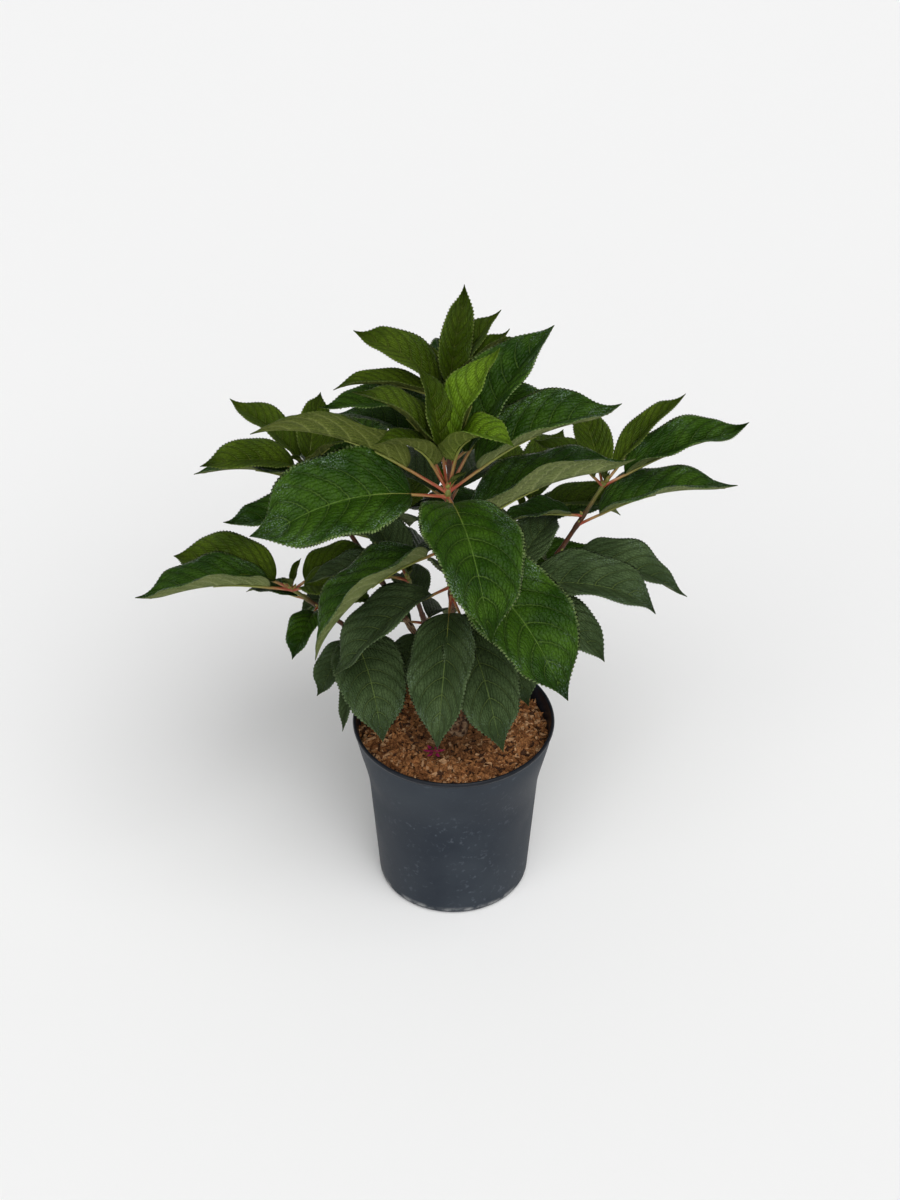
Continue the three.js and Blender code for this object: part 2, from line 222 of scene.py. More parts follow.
def pot_radius(height):
    """The wall's radius: the foot's, plus the draft's share of the height, plus the flare's smooth step."""
    flare = POT_FLARE * smooth(height, POT_FLARE_START, POT_HEIGHT)
    return POT_FOOT_RADIUS + POT_DRAFT * (height - POT_EDGE_ROUND) + flare


def arc(centre, radii, start, end, steps):
    """Points of radius and height on part of an ellipse, from the start angle to the end one, in degrees."""
    angle = np.radians(np.linspace(start, end, steps))
    return np.stack([centre[0] + radii[0] * np.cos(angle), centre[1] + radii[1] * np.sin(angle)], axis=1)


def turn_profile(profile, around):
    """A profile of radius and height turned about the pot's axis: one ring of points for each point."""
    angle = 2 * np.pi * np.arange(around) / around
    radius = profile[:, 0, None]
    height = np.repeat(profile[:, 1, None], around, axis=1)
    return np.stack([radius * np.cos(angle), radius * np.sin(angle), height], axis=-1)


def skin(rings, around):
    """Faces between rings of points that run anticlockwise seen from the last ring, both ends closed."""
    ring, step = np.meshgrid(np.arange(rings - 1) * around, np.arange(around), indexing="ij")
    beside = (step + 1) % around
    corners = [ring + step, ring + beside, ring + around + beside, ring + around + step]
    faces = np.stack(corners, axis=-1).reshape(-1, 4).tolist()
    faces.append(list(range(around))[::-1])
    faces.append(list(range((rings - 1) * around, rings * around)))
    return faces


def repeated(faces, parts, corners):
    """The faces of many parts alike, each part's corners numbered after those of the part before it."""
    return [[corner + part * corners for corner in face] for part in range(parts) for face in faces]


def add_piece(name, points, faces, materials, finish=None, uvs=None):
    """A smooth mesh piece of the object, from points in millimetres, that rides on the root. finish is the
    number of each face's material, and uvs holds a pair of numbers for each point, by the layer's name."""
    mesh = new_mesh(name, points, faces)
    for material in materials:
        mesh.materials.append(material)
    if finish is not None:
        mesh.polygons.foreach_set("material_index", finish)
    corners = np.empty(len(mesh.loops), dtype=np.int32)
    mesh.loops.foreach_get("vertex_index", corners)
    for layer, values in (uvs or {}).items():
        mesh.uv_layers.new(name=layer).data.foreach_set("uv", values[corners].astype(np.float32).ravel())
    mesh.shade_smooth()
    piece = add_object(name, mesh)
    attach(piece, "root")
    return piece


def mix_colours(tree, share, first, second):
    """The first colour where the share is 0, and the second where it is 1."""
    node = tree.nodes.new("ShaderNodeMix")
    node.data_type = "RGBA"
    feed(tree, node.inputs[0], share)
    feed(tree, node.inputs[6], first)
    feed(tree, node.inputs[7], second)
    return node.outputs[2]


def new_group(name, inputs, outputs):
    """An empty shader node group with those sockets: (group, its inputs by name, its output node)."""
    group = bpy.data.node_groups.new(name, "ShaderNodeTree")
    for socket, kind in inputs.items():
        group.interface.new_socket(socket, in_out="INPUT", socket_type="NodeSocket" + kind)
    for socket, kind in outputs.items():
        group.interface.new_socket(socket, in_out="OUTPUT", socket_type="NodeSocket" + kind)
    return group, group.nodes.new("NodeGroupInput").outputs, group.nodes.new("NodeGroupOutput")


def use_group(tree, group, **inputs):
    """A group placed in a material with its own values."""
    node = tree.nodes.new("ShaderNodeGroup")
    node.node_tree = group
    for name, value in inputs.items():
        feed(tree, node.inputs[name.replace("_", " ")], value)
    return node.outputs


def tint(tree, ground, mask, strength, colour):
    """The ground, turned towards the colour by the mask times the strength."""
    return mix_colours(tree, times(tree, mask, strength), ground, colour)


def add_bump(tree, shader, height, strength, distance):
    """Relief on the shader's normal, from a height that changes over the surface."""
    bump = add_node(tree, "Bump", Strength=strength, Distance=distance, Height=height)
    feed(tree, shader.inputs["Normal"], bump.outputs["Normal"])


# Soft patches of one colour in another, used on every finish here: clouded noise on object coordinates.
mottle, mottle_in, mottle_out = new_group(
    "mottle",
    {"Scale": "Float", "Low": "Float", "High": "Float", "Ground": "Color", "Patch": "Color"},
    {"Color": "Color", "Mask": "Float"},
)
mottle_place = add_node(mottle, "TexCoord").outputs["Object"]
mottle_noise = add_node(mottle, "TexNoise", Vector=mottle_place, Scale=mottle_in["Scale"], Detail=5.0)
mottle_mask = band(mottle, mottle_noise.outputs["Fac"], mottle_in["Low"], mottle_in["High"])
mottle_mixed = mix_colours(mottle, mottle_mask, mottle_in["Ground"], mottle_in["Patch"])
feed(mottle, mottle_out.inputs["Mask"], mottle_mask)
feed(mottle, mottle_out.inputs["Color"], mottle_mixed)


def patches(tree, scale, low, high, ground=(0, 0, 0, 1), patch=(1, 1, 1, 1)):
    """The mottle placed in a material. It can also be used for its mask alone."""
    return use_group(tree, mottle, Scale=scale, Low=low, High=high, Ground=ground, Patch=patch)


def mottled(name, roughness, specular, *mottling):
    """A new material in patches of two colours, which more can be laid over. The last values are those that
    patches takes. Returns (material, tree, shader, the mottle's outputs)."""
    material, tree, shader = principled(name, roughness, specular)
    ground = patches(tree, *mottling)
    feed(tree, shader.inputs["Base Color"], ground["Color"])
    return material, tree, shader, ground


def pot_plastic():
    """Matt dark plastic: soft worn patches, small scuffs, fine moulding grain, and dust near the floor."""
    material, tree, shader, ground = mottled("pot_plastic", 0.55, 0.2, 14.0, 0.35, 0.68, POT_SLATE, POT_WORN)
    scuffs = patches(tree, 210.0, 0.56, 0.76, ground["Color"], POT_SCUFF)
    breakup = patches(tree, 20.0, 0.36, 0.66)["Mask"]
    scuffed = tint(tree, ground["Color"], breakup, 0.7, scuffs["Color"])
    place = add_node(tree, "TexCoord").outputs["Object"]
    height = split(tree, place)[2]
    foot = times(tree, band(tree, height, *DUST_START), band(tree, height, *DUST_END, DUST_SHARE, 0.0))
    grit = patches(tree, 75.0, 0.4, 0.62)["Mask"]
    feed(tree, shader.inputs["Base Color"], tint(tree, scuffed, foot, grit, POT_DUST))
    feed(tree, shader.inputs["Roughness"], band(tree, ground["Mask"], 0.0, 1.0, 0.48, 0.62))
    grain = add_node(tree, "TexNoise", Vector=place, Scale=1400.0, Detail=2.0).outputs["Fac"]
    add_bump(tree, shader, grain, 0.25, 0.0002)
    return material


def lip_plastic():
    """The same plastic, darker and a little glossier, on the rolled lip and a short way down the inside of
    the wall.
    """
    material, tree, shader, ground = mottled("lip_plastic", 0.42, 0.2, 60.0, 0.4, 0.8, POT_LIP, POT_SLATE)
    feed(tree, shader.inputs["Roughness"], band(tree, ground["Mask"], 0.0, 1.0, 0.38, 0.52))
    return material


foot_centre = (POT_FOOT_RADIUS - POT_EDGE_ROUND, POT_EDGE_ROUND)
foot_curve = arc(foot_centre, (POT_EDGE_ROUND, POT_EDGE_ROUND), -90, 0, FOOT_RINGS)
wall_top = POT_HEIGHT - LIP_HEIGHT - 1
wall_heights = np.linspace(POT_EDGE_ROUND + 2, wall_top, WALL_RINGS)
wall_curve = np.stack([pot_radius(wall_heights), wall_heights], axis=1)
lip_half = (POT_OUTER_RADIUS - (pot_radius(POT_HEIGHT) - POT_WALL)) / 2
lip_centre = (POT_OUTER_RADIUS - lip_half, POT_HEIGHT - LIP_HEIGHT / 2)
lip_curve = arc(lip_centre, (lip_half, LIP_HEIGHT / 2), -70, 175, LIP_RINGS)
inner_heights = np.linspace(wall_top, POT_EDGE_ROUND, INNER_RINGS)
inner_curve = np.stack([pot_radius(inner_heights) - POT_WALL, inner_heights], axis=1)
inner_floor = [[POT_FOOT_RADIUS - POT_EDGE_ROUND, POT_WALL], [DRAIN_CIRCLE / 4, POT_WALL]]
pot_profile = np.vstack([[DRAIN_CIRCLE / 4, 0], foot_curve, wall_curve, lip_curve, inner_curve, inner_floor])
lip_first = 1 + len(foot_curve) + len(wall_curve)
pot_finish = np.zeros((len(pot_profile) - 1, POT_STEPS), dtype=np.int32)
pot_finish[lip_first - 1:lip_first + LIP_RINGS + LIP_RUN_DOWN] = 1
pot_finish = np.append(pot_finish.ravel(), [0, 0])
pot = add_piece(
    "nursery_pot",
    turn_profile(pot_profile, POT_STEPS),
    skin(len(pot_profile), POT_STEPS),
    [pot_plastic(), lip_plastic()],
    pot_finish,
)
pot.data.set_sharp_from_angle(angle=np.radians(40))
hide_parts("pot")

# The drain holes are cut through the floor with straight round bits, once the pot is in one piece.
drain_angle = 2 * np.pi * np.arange(DRAIN_HOLES) / DRAIN_HOLES
drain_bit = turn_profile(np.array([[DRAIN_RADIUS, -3.0], [DRAIN_RADIUS, 2 * POT_WALL + 3.0]]), DRAIN_STEPS)
drain_places = DRAIN_CIRCLE * np.stack([np.cos(drain_angle), np.sin(drain_angle), 0 * drain_angle], axis=1)
drain_faces = repeated(skin(2, DRAIN_STEPS), DRAIN_HOLES, 2 * DRAIN_STEPS)
drain_mesh = new_mesh("drain_bits", drain_places[:, None, None] + drain_bit, drain_faces)
drain_bits = add_object("drain_bits", drain_mesh)
drilling = pot.modifiers.new("drilling", "BOOLEAN")
drilling.object = drain_bits
drilling.operation = "DIFFERENCE"
drilling.solver = "EXACT"
with bpy.context.temp_override(object=pot, active_object=pot):
    bpy.ops.object.modifier_apply(modifier=drilling.name)
bpy.data.objects.remove(drain_bits)


# ---- The growing medium ----
# Composted bark with some coir, filled to a little under the rim. The body of it is the source's own
# solid; on top lie a lumpy crust, thousands of small chips, a few fallen petals and two bits of green leaf.

SOIL_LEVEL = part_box("soil")[1][2] / MM
SOIL_DARK = paint(52, 34, 22)
SOIL_BROWN = paint(150, 102, 62)
# Painted shade: the soil's colours darken towards the stem, for the shade under the leaves.
SOIL_SHADE_DARK = paint(34, 23, 16)
SOIL_SHADE_SHARE = 0.5
SOIL_SHADE_END = (0.02, 0.052)
CHIP_COLOURS = [paint(172, 118, 74), paint(132, 86, 52), paint(76, 50, 34), paint(204, 158, 116)]
CHIP_SHARES = [0.42, 0.34, 0.1, 0.14]
CHIP_COUNT = 4000
CHIP_SIZES = (2.5, 1.4, 0.7)
CHIP_JITTER = 0.45
CHIP_RISE = (-0.3, 1.3)
CRUST_RINGS = 40
CRUST_STEPS = 120
CRUST_PROUD = 0.6
CRUST_FALL = 2.2
CRUST_DEPTH = 3.0
SCRAP_RINGS = ((0.35, -1), (0.9, -1), (1.0, 0), (0.9, 1), (0.35, 1))
SCRAP_STEPS = 16
PETAL_COLOUR = paint(150, 26, 84)
PETAL_DARK = paint(92, 14, 52)
PETAL_RISE = 2.6
PETAL_HEART = (-16, -29)
PETAL_TURNS = (8, 62, 130, 176, 232, 300)
PETAL_SIZE = (9.0, 2.8)
GREEN_BIT_COLOUR = paint(66, 84, 30)
GREEN_BIT_PALE = paint(96, 104, 48)
GREEN_BIT_PLACES = [(36, -9, 30), (39, -7, 120)]
GREEN_BIT_SIZE = (7.0, 3.0)
earth = np.random.default_rng(11)


def lumps(x, y):
    """The crust's relief in millimetres: crossed sine waves of three lengths, the shortest the lowest."""
    coarse = 0.7 * np.sin(x / 6.1 + 1.3 * np.sin(y / 9.7)) * np.sin(y / 7.3 + 0.8)
    middle = 0.45 * np.sin(x / 2.3 + y / 3.1) * np.sin(y / 2.1 - x / 4.7 + 0.4)
    fine = 0.3 * np.sin(x / 0.9 + 2.0 * np.sin(y / 1.7)) * np.sin(y / 1.1)
    return coarse + middle + fine


def ground_level(x, y):
    """The crust's height: a little above the soil's level, less a smooth fall to the wall, plus the lumps."""
    far = np.hypot(x, y) / pot_radius(SOIL_LEVEL)
    return SOIL_LEVEL + CRUST_PROUD - CRUST_FALL * smooth(far, 0.45, 1.0) + lumps(x, y)


# Painted shade round the stem: the colour that goes in darkens towards the middle of the pot, for the shade
# that the leaves cast on the soil.
painted_soil_shade, soil_shade_in, soil_shade_out = new_group("painted_shade_round_stem", {"Dry": "Color"}, {"Color": "Color"})
soil_shade_x, soil_shade_y, _ = split(painted_soil_shade, add_node(painted_soil_shade, "TexCoord").outputs["Object"])
soil_shade_reach = reckon(painted_soil_shade, "SQRT", reckon(painted_soil_shade, "MULTIPLY_ADD", soil_shade_y, soil_shade_y, times(painted_soil_shade, soil_shade_x, soil_shade_x)))
soil_shade_share = band(painted_soil_shade, soil_shade_reach, *SOIL_SHADE_END, SOIL_SHADE_SHARE, 0.0)
feed(painted_soil_shade, soil_shade_out.inputs["Color"], mix_colours(painted_soil_shade, soil_shade_share, soil_shade_in["Dry"], SOIL_SHADE_DARK))


def soil_material(name, ground, patch):
    """A crumbly dull finish: patches of two browns, darker towards the stem as painted shade under the
    leaves, and a coarse bump.
    """
    material, tree, shader, mixed = mottled(name, 0.95, 0.2, 260.0, 0.35, 0.65, ground, patch)
    feed(tree, shader.inputs["Base Color"], use_group(tree, painted_soil_shade, Dry=mixed["Color"])["Color"])
    add_bump(tree, shader, mixed["Mask"], 0.6, 0.0008)
    return material


def darker(colour, share):
    """The colour with only that share of its light."""
    return (*(np.array(colour[:3]) * share), 1.0)


def chip_material(number, colour):
    """Splintery bark: one brown with fine darker flecks, and darker again towards the stem as painted shade
    under the leaves.
    """
    material, tree, shader, flecks = mottled(
        f"bark_chip_{number}", 0.85, 0.25, 700.0, 0.42, 0.6, colour, darker(colour, 0.55)
    )
    feed(tree, shader.inputs["Base Color"], use_group(tree, painted_soil_shade, Dry=flecks["Color"])["Color"])
    return material


def turned_about(axes, angles):
    """Turning matrices about unit axes: cos times the identity, sin times the cross-product matrix, and
    one less cos times the axis by itself."""
    x, y, z = axes.T
    zero = 0 * x
    cross = np.stack([zero, -z, y, z, zero, -x, -y, x, zero], axis=1).reshape(-1, 3, 3)
    outer = axes[:, :, None] * axes[:, None, :]
    cos = np.cos(angles)[:, None, None]
    return cos * np.eye(3) + np.sin(angles)[:, None, None] * cross + (1 - cos) * outer


soil_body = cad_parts["soil"]
soil_body.data.materials.clear()
soil_body.data.materials.append(soil_material("packed_medium", SOIL_DARK, SOIL_BROWN))

crust_radius = pot_radius(SOIL_LEVEL) - POT_WALL - 0.4
crust_radii = np.linspace(crust_radius, 1.0, CRUST_RINGS)
crust_profile = np.stack([crust_radii, np.full(CRUST_RINGS, SOIL_LEVEL)], axis=1)
crust_points = turn_profile(np.vstack([[crust_radius, SOIL_LEVEL - CRUST_DEPTH], crust_profile]), CRUST_STEPS)
crust_points[1:, :, 2] = ground_level(crust_points[1:, :, 0], crust_points[1:, :, 1])
add_piece(
    "soil_crust",
    crust_points,
    skin(len(crust_points), CRUST_STEPS),
    [soil_material("loose_medium", SOIL_BROWN, SOIL_DARK)],
)

chip_reach = (crust_radius - 1.5) * np.sqrt(earth.random(CHIP_COUNT))
chip_angle = 2 * np.pi * earth.random(CHIP_COUNT)
chip_x = chip_reach * np.cos(chip_angle)
chip_y = chip_reach * np.sin(chip_angle)
chip_z = ground_level(chip_x, chip_y) + earth.uniform(*CHIP_RISE, CHIP_COUNT)
chip_box = np.array([[x, y, z] for z in (-1, 1) for x, y in ((-1, -1), (1, -1), (1, 1), (-1, 1))])
chip_size = np.array(CHIP_SIZES) * earth.uniform(0.5, 1.5, (CHIP_COUNT, 1, 3))
chip_shape = (chip_box + earth.uniform(-CHIP_JITTER, CHIP_JITTER, (CHIP_COUNT, 8, 3))) * chip_size
chip_axis = earth.normal(size=(CHIP_COUNT, 3))
chip_axis /= np.linalg.norm(chip_axis, axis=1, keepdims=True)
chip_turn = turned_about(chip_axis, earth.uniform(0, np.pi, CHIP_COUNT))
chip_points = np.einsum("nij,nkj->nki", chip_turn, chip_shape)
chip_points += np.stack([chip_x, chip_y, chip_z], axis=1)[:, None]
chip_faces = repeated(skin(2, 4), CHIP_COUNT, 8)
chip_kind = np.repeat(earth.choice(4, CHIP_COUNT, p=CHIP_SHARES), 6).astype(np.int32)
chip_materials = [chip_material(number, colour) for number, colour in enumerate(CHIP_COLOURS)]
chips = add_piece("bark_chips", chip_points, chip_faces, chip_materials, chip_kind)
chips.data.shade_flat()


def scrap(x, y, turn, length, width):
    """A thin cupped scrap that lies outward from its place at that turn: a closed lens, long and narrow,
    whose ends rise by the square of their distance."""
    angle = 2 * np.pi * np.arange(SCRAP_STEPS) / SCRAP_STEPS
    size, side = np.array(SCRAP_RINGS).T[:, :, None]
    along = np.cos(angle) * size * length / 2
    over = np.sin(angle) * size * width / 2
    cup = 0.24 * along ** 2 / length + 0.15 * side
    turn = np.radians(turn)
    spin = np.array([[np.cos(turn), -np.sin(turn), 0], [np.sin(turn), np.cos(turn), 0], [0, 0, 1]])
    points = np.stack([along + length / 2, over, cup], axis=-1)
    return points @ spin.T + [x, y, ground_level(x, y) + PETAL_RISE]


def add_scraps(name, finish_name, scraps, ground, patch):
    """Several scraps joined into a piece, in patches of two colours."""
    rings = len(SCRAP_RINGS)
    faces = repeated(skin(rings, SCRAP_STEPS), len(scraps), rings * SCRAP_STEPS)
    material = mottled(finish_name, 0.6, 0.3, 500.0, 0.4, 0.7, ground, patch)[0]
    add_piece(name, np.stack(scraps), faces, [material])


petals = [scrap(*PETAL_HEART, turn, *PETAL_SIZE) for turn in PETAL_TURNS]
add_scraps("fallen_petals", "fallen_petal", petals, PETAL_COLOUR, PETAL_DARK)
green_bits = [scrap(*place, *GREEN_BIT_SIZE) for place in GREEN_BIT_PLACES]
add_scraps("leaf_scraps", "leaf_scrap", green_bits, GREEN_BIT_COLOUR, GREEN_BIT_PALE)


# ---- The trunk and boughs ----
# A short woody foot that flares at the ground, and the bare lower part of each shoot, which leaves the
# trunk at its spring height. Their brown bark is ridged lengthwise, with a swollen ring at each old node.

# The growth plan. A shoot's tip is given by its turn about the pot's axis, its reach and its height.
# spring is the height at which it leaves the trunk, bow lifts the middle of its curve, and leafy is the
# share of the curve below its first leaves. A whorl is (share of the curve, leaf length, rise, arch, turns
# of its leaves, fold, width, roll, stalk), and the last four can be left out. rise is how steeply a leaf
# starts, arch how far it bends down, fold how far its halves stand up from flat, width its breadth for its
# length, roll how far it tips on its midrib, and stalk its stalk's share of its length.
FOLD = 30
WIDTH = 0.56
PETIOLE_SHARE = 0.18
USUAL_LEAF = (FOLD, WIDTH, 0, PETIOLE_SHARE)
SHOOTS = {
    "front": dict(turn=264, reach=45, height=426, spring=205, bow=4, leafy=0.4, whorls=[
        (0.46, 110, -14, 46, (264, 294), 18, 0.5),
        (0.50, 100, 0, 60, (218,), 26),
        (0.68, 128, -4, 54, (312,), 16, 0.6),
        (0.70, 122, 6, 66, (216,), 32, WIDTH, 26),
        (0.72, 130, 38, 46, (12,), 38, WIDTH, -18),
        (0.96, 140, 14, 66, (284,), 15, 0.56, 0, 0.12),
        (0.96, 122, 14, 60, (200,), 20, 0.62, -18, 0.24),
        (0.98, 122, 36, 46, (10,), 36, 0.6, -12, 0.25),
        (0.98, 124, 36, 46, (175,), 30, WIDTH, 36, 0.3),
        (0.99, 114, 50, 26, (46,), 34, 0.58, 0, 0.3),
        (0.99, 78, 70, 76, (164,), FOLD, 0.56, 14, 0.46),
        (1.00, 84, 70, 40, (46,), 42, 0.6, -14, 0.42),
        (1.00, 66, 78, 108, (326,), 36, 0.66, 0, 0.46),
        (1.00, 70, 76, 34, (122,), FOLD, 0.54, 0, 0.42),
        (1.00, 58, 68, 76, (206,), 40, 0.56, 16, 0.5),
    ]),
    "back": dict(turn=96, reach=45, height=450, spring=180, bow=6, leafy=0.36, whorls=[
        (0.66, 104, 0, 58, (72, 128)),
        (0.78, 88, 26, 50, (36, 150)),
        (0.82, 108, 12, 58, (98,)),
        (0.92, 84, 26, 46, (180, 90, 346), FOLD, 0.48),
        (1.00, 80, 26, 40, (186,), 46, 0.34),
        (1.00, 78, 56, 58, (168,), FOLD, 0.46),
        (1.00, 60, 44, 40, (130,), FOLD, 0.44),
        (1.00, 76, 76, 24, (64,), 42, 0.42, 14),
        (1.00, 70, 64, 46, (40,), FOLD, 0.42),
        (1.00, 64, 62, 34, (4,), 46, 0.4),
        (1.00, 68, 44, 40, (22,), FOLD, 0.42),
        (1.00, 34, 64, 70, (262,)),
        (0.40, 78, -16, 44, (96, 34), FOLD, 0.5),
        (0.52, 84, -4, 52, (112, 18), FOLD, 0.5),
    ]),
    "left_back": dict(turn=146, reach=143, height=358, spring=188, bow=8, leafy=0.46, whorls=[
        (0.74, 84, 26, 46, (112, 192), FOLD, 0.5),
        (0.92, 88, 20, 42, (176, 60), FOLD, 0.46),
        (1.00, 80, 38, 48, (142, 204), FOLD, 0.44),
        (1.00, 60, 60, 50, (80, 330), FOLD, 0.5),
        (0.50, 66, 0, 50, (200, 96), FOLD, 0.5),
    ]),
    "left": dict(turn=176, reach=130, height=292, spring=174, bow=6, leafy=0.5, whorls=[
        (0.54, 66, -40, 30, (246,), 40, 0.3),
        (0.60, 50, -24, 44, (226,)),
        (0.64, 102, 6, 64, (288,), 20, 0.6),
        (0.84, 48, 4, 50, (252,)),
        (0.90, 52, -4, 30, (152,), FOLD, 0.4),
        (1.00, 106, 18, 44, (190,), 38, WIDTH, 10),
        (1.00, 92, 14, 40, (158,)),
        (1.00, 66, 30, 54, (326, 22)),
    ]),
    "right": dict(turn=26, reach=134, height=360, spring=186, bow=-10, leafy=0.55, whorls=[
        (0.70, 92, 0, 46, (352,), FOLD, 0.5),
        (0.82, 112, 27, 46, (2,), 26),
        (0.86, 60, 18, 42, (196,)),
        (1.00, 110, 18, 28, (20,), 46, 0.44, -10),
        (1.00, 86, 38, 26, (44,), 50, 0.36),
        (1.00, 58, 50, 50, (170, 110)),
    ]),
    "right_front": dict(turn=350, reach=42, height=302, spring=196, bow=4, leafy=0.6, whorls=[
        (0.68, 64, -24, 50, (300,)),
        (0.84, 86, 10, 56, (334,)),
        (1.00, 108, 24, 56, (346,), 26, 0.52),
        (1.00, 70, 40, 50, (60,)),
    ]),
    "inner_left": dict(turn=200, reach=38, height=318, spring=188, bow=0, leafy=0.5, whorls=[
        (0.62, 62, -24, 50, (238,)),
        (0.70, 66, 12, 60, (108,)),
        (1.00, 70, 24, 56, (186, 120)),
    ]),
    "right_back": dict(turn=62, reach=128, height=290, spring=176, bow=8, leafy=0.42, whorls=[
        (0.72, 92, 5, 55, (0, 104), FOLD, 0.5),
        (0.88, 92, 12, 50, (30, 150), FOLD, 0.5),
        (1.00, 84, 28, 45, (70, 110, 350), FOLD, 0.5),
        (0.46, 72, -12, 46, (20, 100), FOLD, 0.5),
    ]),
    "left_far": dict(turn=114, reach=128, height=276, spring=168, bow=8, leafy=0.42, whorls=[
        (0.72, 88, 0, 55, (82, 190), FOLD, 0.5),
        (0.88, 92, 8, 50, (114, 160), FOLD, 0.5),
        (1.00, 80, 22, 45, (134, 98, 62), FOLD, 0.5),
        (0.46, 70, -14, 46, (152, 72), FOLD, 0.5),
    ]),
}
TRUNK_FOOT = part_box("trunk")[0][2] / MM
TRUNK_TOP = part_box("trunk")[1][2] / MM
TRUNK_FLARE_RADIUS = 13
TRUNK_FOOT_RADIUS = 9
TRUNK_TOP_RADIUS = 6.5
TRUNK_BOW = 8
BOUGH_RADIUS = 3.1
STEM_RADIUS = 2.2
NODE_SPACING = 34
TRUNK_RINGS = 44
TRUNK_STEPS = 48
BOUGH_RINGS = 90
BOUGH_STEPS = 20
BARK_BROWN = paint(96, 64, 42)
BARK_DARK = paint(46, 30, 22)
BARK_GREY = paint(150, 128, 102)
UP = np.array([0.0, 0.0, 1.0])


def direction(turn, rise):
    """The unit vector at that turn about +Z and that rise above the level, both in degrees."""
    turn = np.radians(turn)
    rise = np.radians(rise)
    flat = np.cos(rise)
    return np.stack(np.broadcast_arrays(np.cos(turn) * flat, np.sin(turn) * flat, np.sin(rise)), axis=-1)


def unit(vectors):
    """The vectors at length one."""
    return vectors / np.maximum(np.linalg.norm(vectors, axis=-1, keepdims=True), 1e-9)


def shoot_curve(shoot, shares):
    """Points at shares of a shoot's curve: the start, the middle and the tip, weighted by (1 - s) squared,
    2 s (1 - s) and s squared. The middle lies half-way and is lifted by the bow."""
    start = np.array([0.0, 0.0, shoot["spring"]])
    tip = direction(shoot["turn"], 0) * shoot["reach"] + UP * shoot["height"]
    middle = (start + tip) / 2 + UP * shoot["bow"]
    share = np.asarray(shares, dtype=float)[..., None]
    return (1 - share) ** 2 * start + 2 * share * (1 - share) * middle + share ** 2 * tip


def tube(path, radius, around):
    """Rings round a path: each point of the path plus the radius times a circle square to the path. The
    radius is one number for each ring, or one for each point of each ring."""
    along = unit(np.gradient(path, axis=0))
    side = unit(np.cross(np.broadcast_to(UP, along.shape), along) + [1e-6, 0, 0])
    over = np.cross(along, side)
    angle = 2 * np.pi * np.arange(around) / around
    circle = np.cos(angle)[:, None] * side[:, None] + np.sin(angle)[:, None] * over[:, None]
    radius = np.asarray(radius, dtype=float)
    radius = radius[:, None] if radius.ndim == 1 else radius
    return path[:, None] + radius[..., None] * circle


def ridges(path, around, seed):
    """The bark's relief as a share of the radius: sine waves round the limb that drift along it, the lower
    for their number, and a soft swelling at each node."""
    chance = np.random.default_rng(seed)
    passed = np.append(0, np.cumsum(np.linalg.norm(np.diff(path, axis=0), axis=1)))[:, None]
    angle = 2 * np.pi * np.arange(around) / around
    relief = 0
    for waves in (2, 3, 5, 7, 11):
        drift = chance.uniform(-0.08, 0.08) * passed + 0.9 * np.sin(passed / chance.uniform(5, 13))
        relief = relief + 0.075 / waves ** 0.5 * np.sin(waves * angle + drift + chance.uniform(0, 7))
    node = 0.16 * np.exp(-(((passed + NODE_SPACING / 2) % NODE_SPACING - NODE_SPACING / 2) / 2.4) ** 2)
    return relief + node


def uv_map(tree, layer):
    """The place on the piece's own UV map of that name."""
    node = add_node(tree, "UVMap")
    node.uv_map = layer
    return node.outputs["UV"]


def wood_bark():
    """Brown bark with grey weathered patches and dark furrows along the limb, which follow its UV map."""
    material, tree, shader, ground = mottled("wood_bark", 0.8, 0.25, 110.0, 0.4, 0.7, BARK_BROWN, BARK_GREY)
    stretched = add_node(tree, "Mapping", Vector=uv_map(tree, "limb"), Scale=(4.0, 0.11, 1.0)).outputs[0]
    furrow = add_node(tree, "TexNoise", Vector=stretched, Scale=2.4, Detail=4.0).outputs["Fac"]
    dark = band(tree, furrow, 0.42, 0.6)
    feed(tree, shader.inputs["Base Color"], mix_colours(tree, dark, ground["Color"], BARK_DARK))
    add_bump(tree, shader, furrow, 0.7, 0.0006)
    return material


class Joined:
    """Parts of one kind gathered to be joined into a piece."""

    def __init__(self):
        self.points = []
        self.faces = []
        self.finish = []
        self.maps = {}
        self.count = 0

    def add(self, points, faces, finish, **maps):
        """Adds a part. finish is one number, or one for each face, and maps holds its UV maps."""
        self.points.append(points.reshape(-1, 3))
        self.faces += [[corner + self.count for corner in face] for face in faces]
        self.finish.append(np.broadcast_to(finish, len(faces)))
        for layer, values in maps.items():
            self.maps.setdefault(layer, []).append(values.reshape(-1, 2))
        self.count += points.size // 3

    def piece(self, name, slot, materials):
        """Makes the piece from what was gathered."""
        maps = {layer: np.vstack(values) for layer, values in self.maps.items()}
        finish = np.concatenate(self.finish).astype(np.int32)
        return add_piece(name, np.vstack(self.points), self.faces, materials, finish, maps)


def add_limb(parts, path, radius, around, finish, length, start=0):
    """Adds a tube along the path. Its UV map goes from 1 to 0 and back to 1 round it, and along it from the
    start on by the length."""
    passed = np.linspace(0, length, len(path)) + start
    passed, turn = np.meshgrid(passed, np.arange(around) / around, indexing="ij")
    limb_map = np.stack([np.abs(turn - 0.5) * 2, passed], axis=-1)
    parts.add(tube(path, radius, around), skin(len(path), around), finish, limb=limb_map)


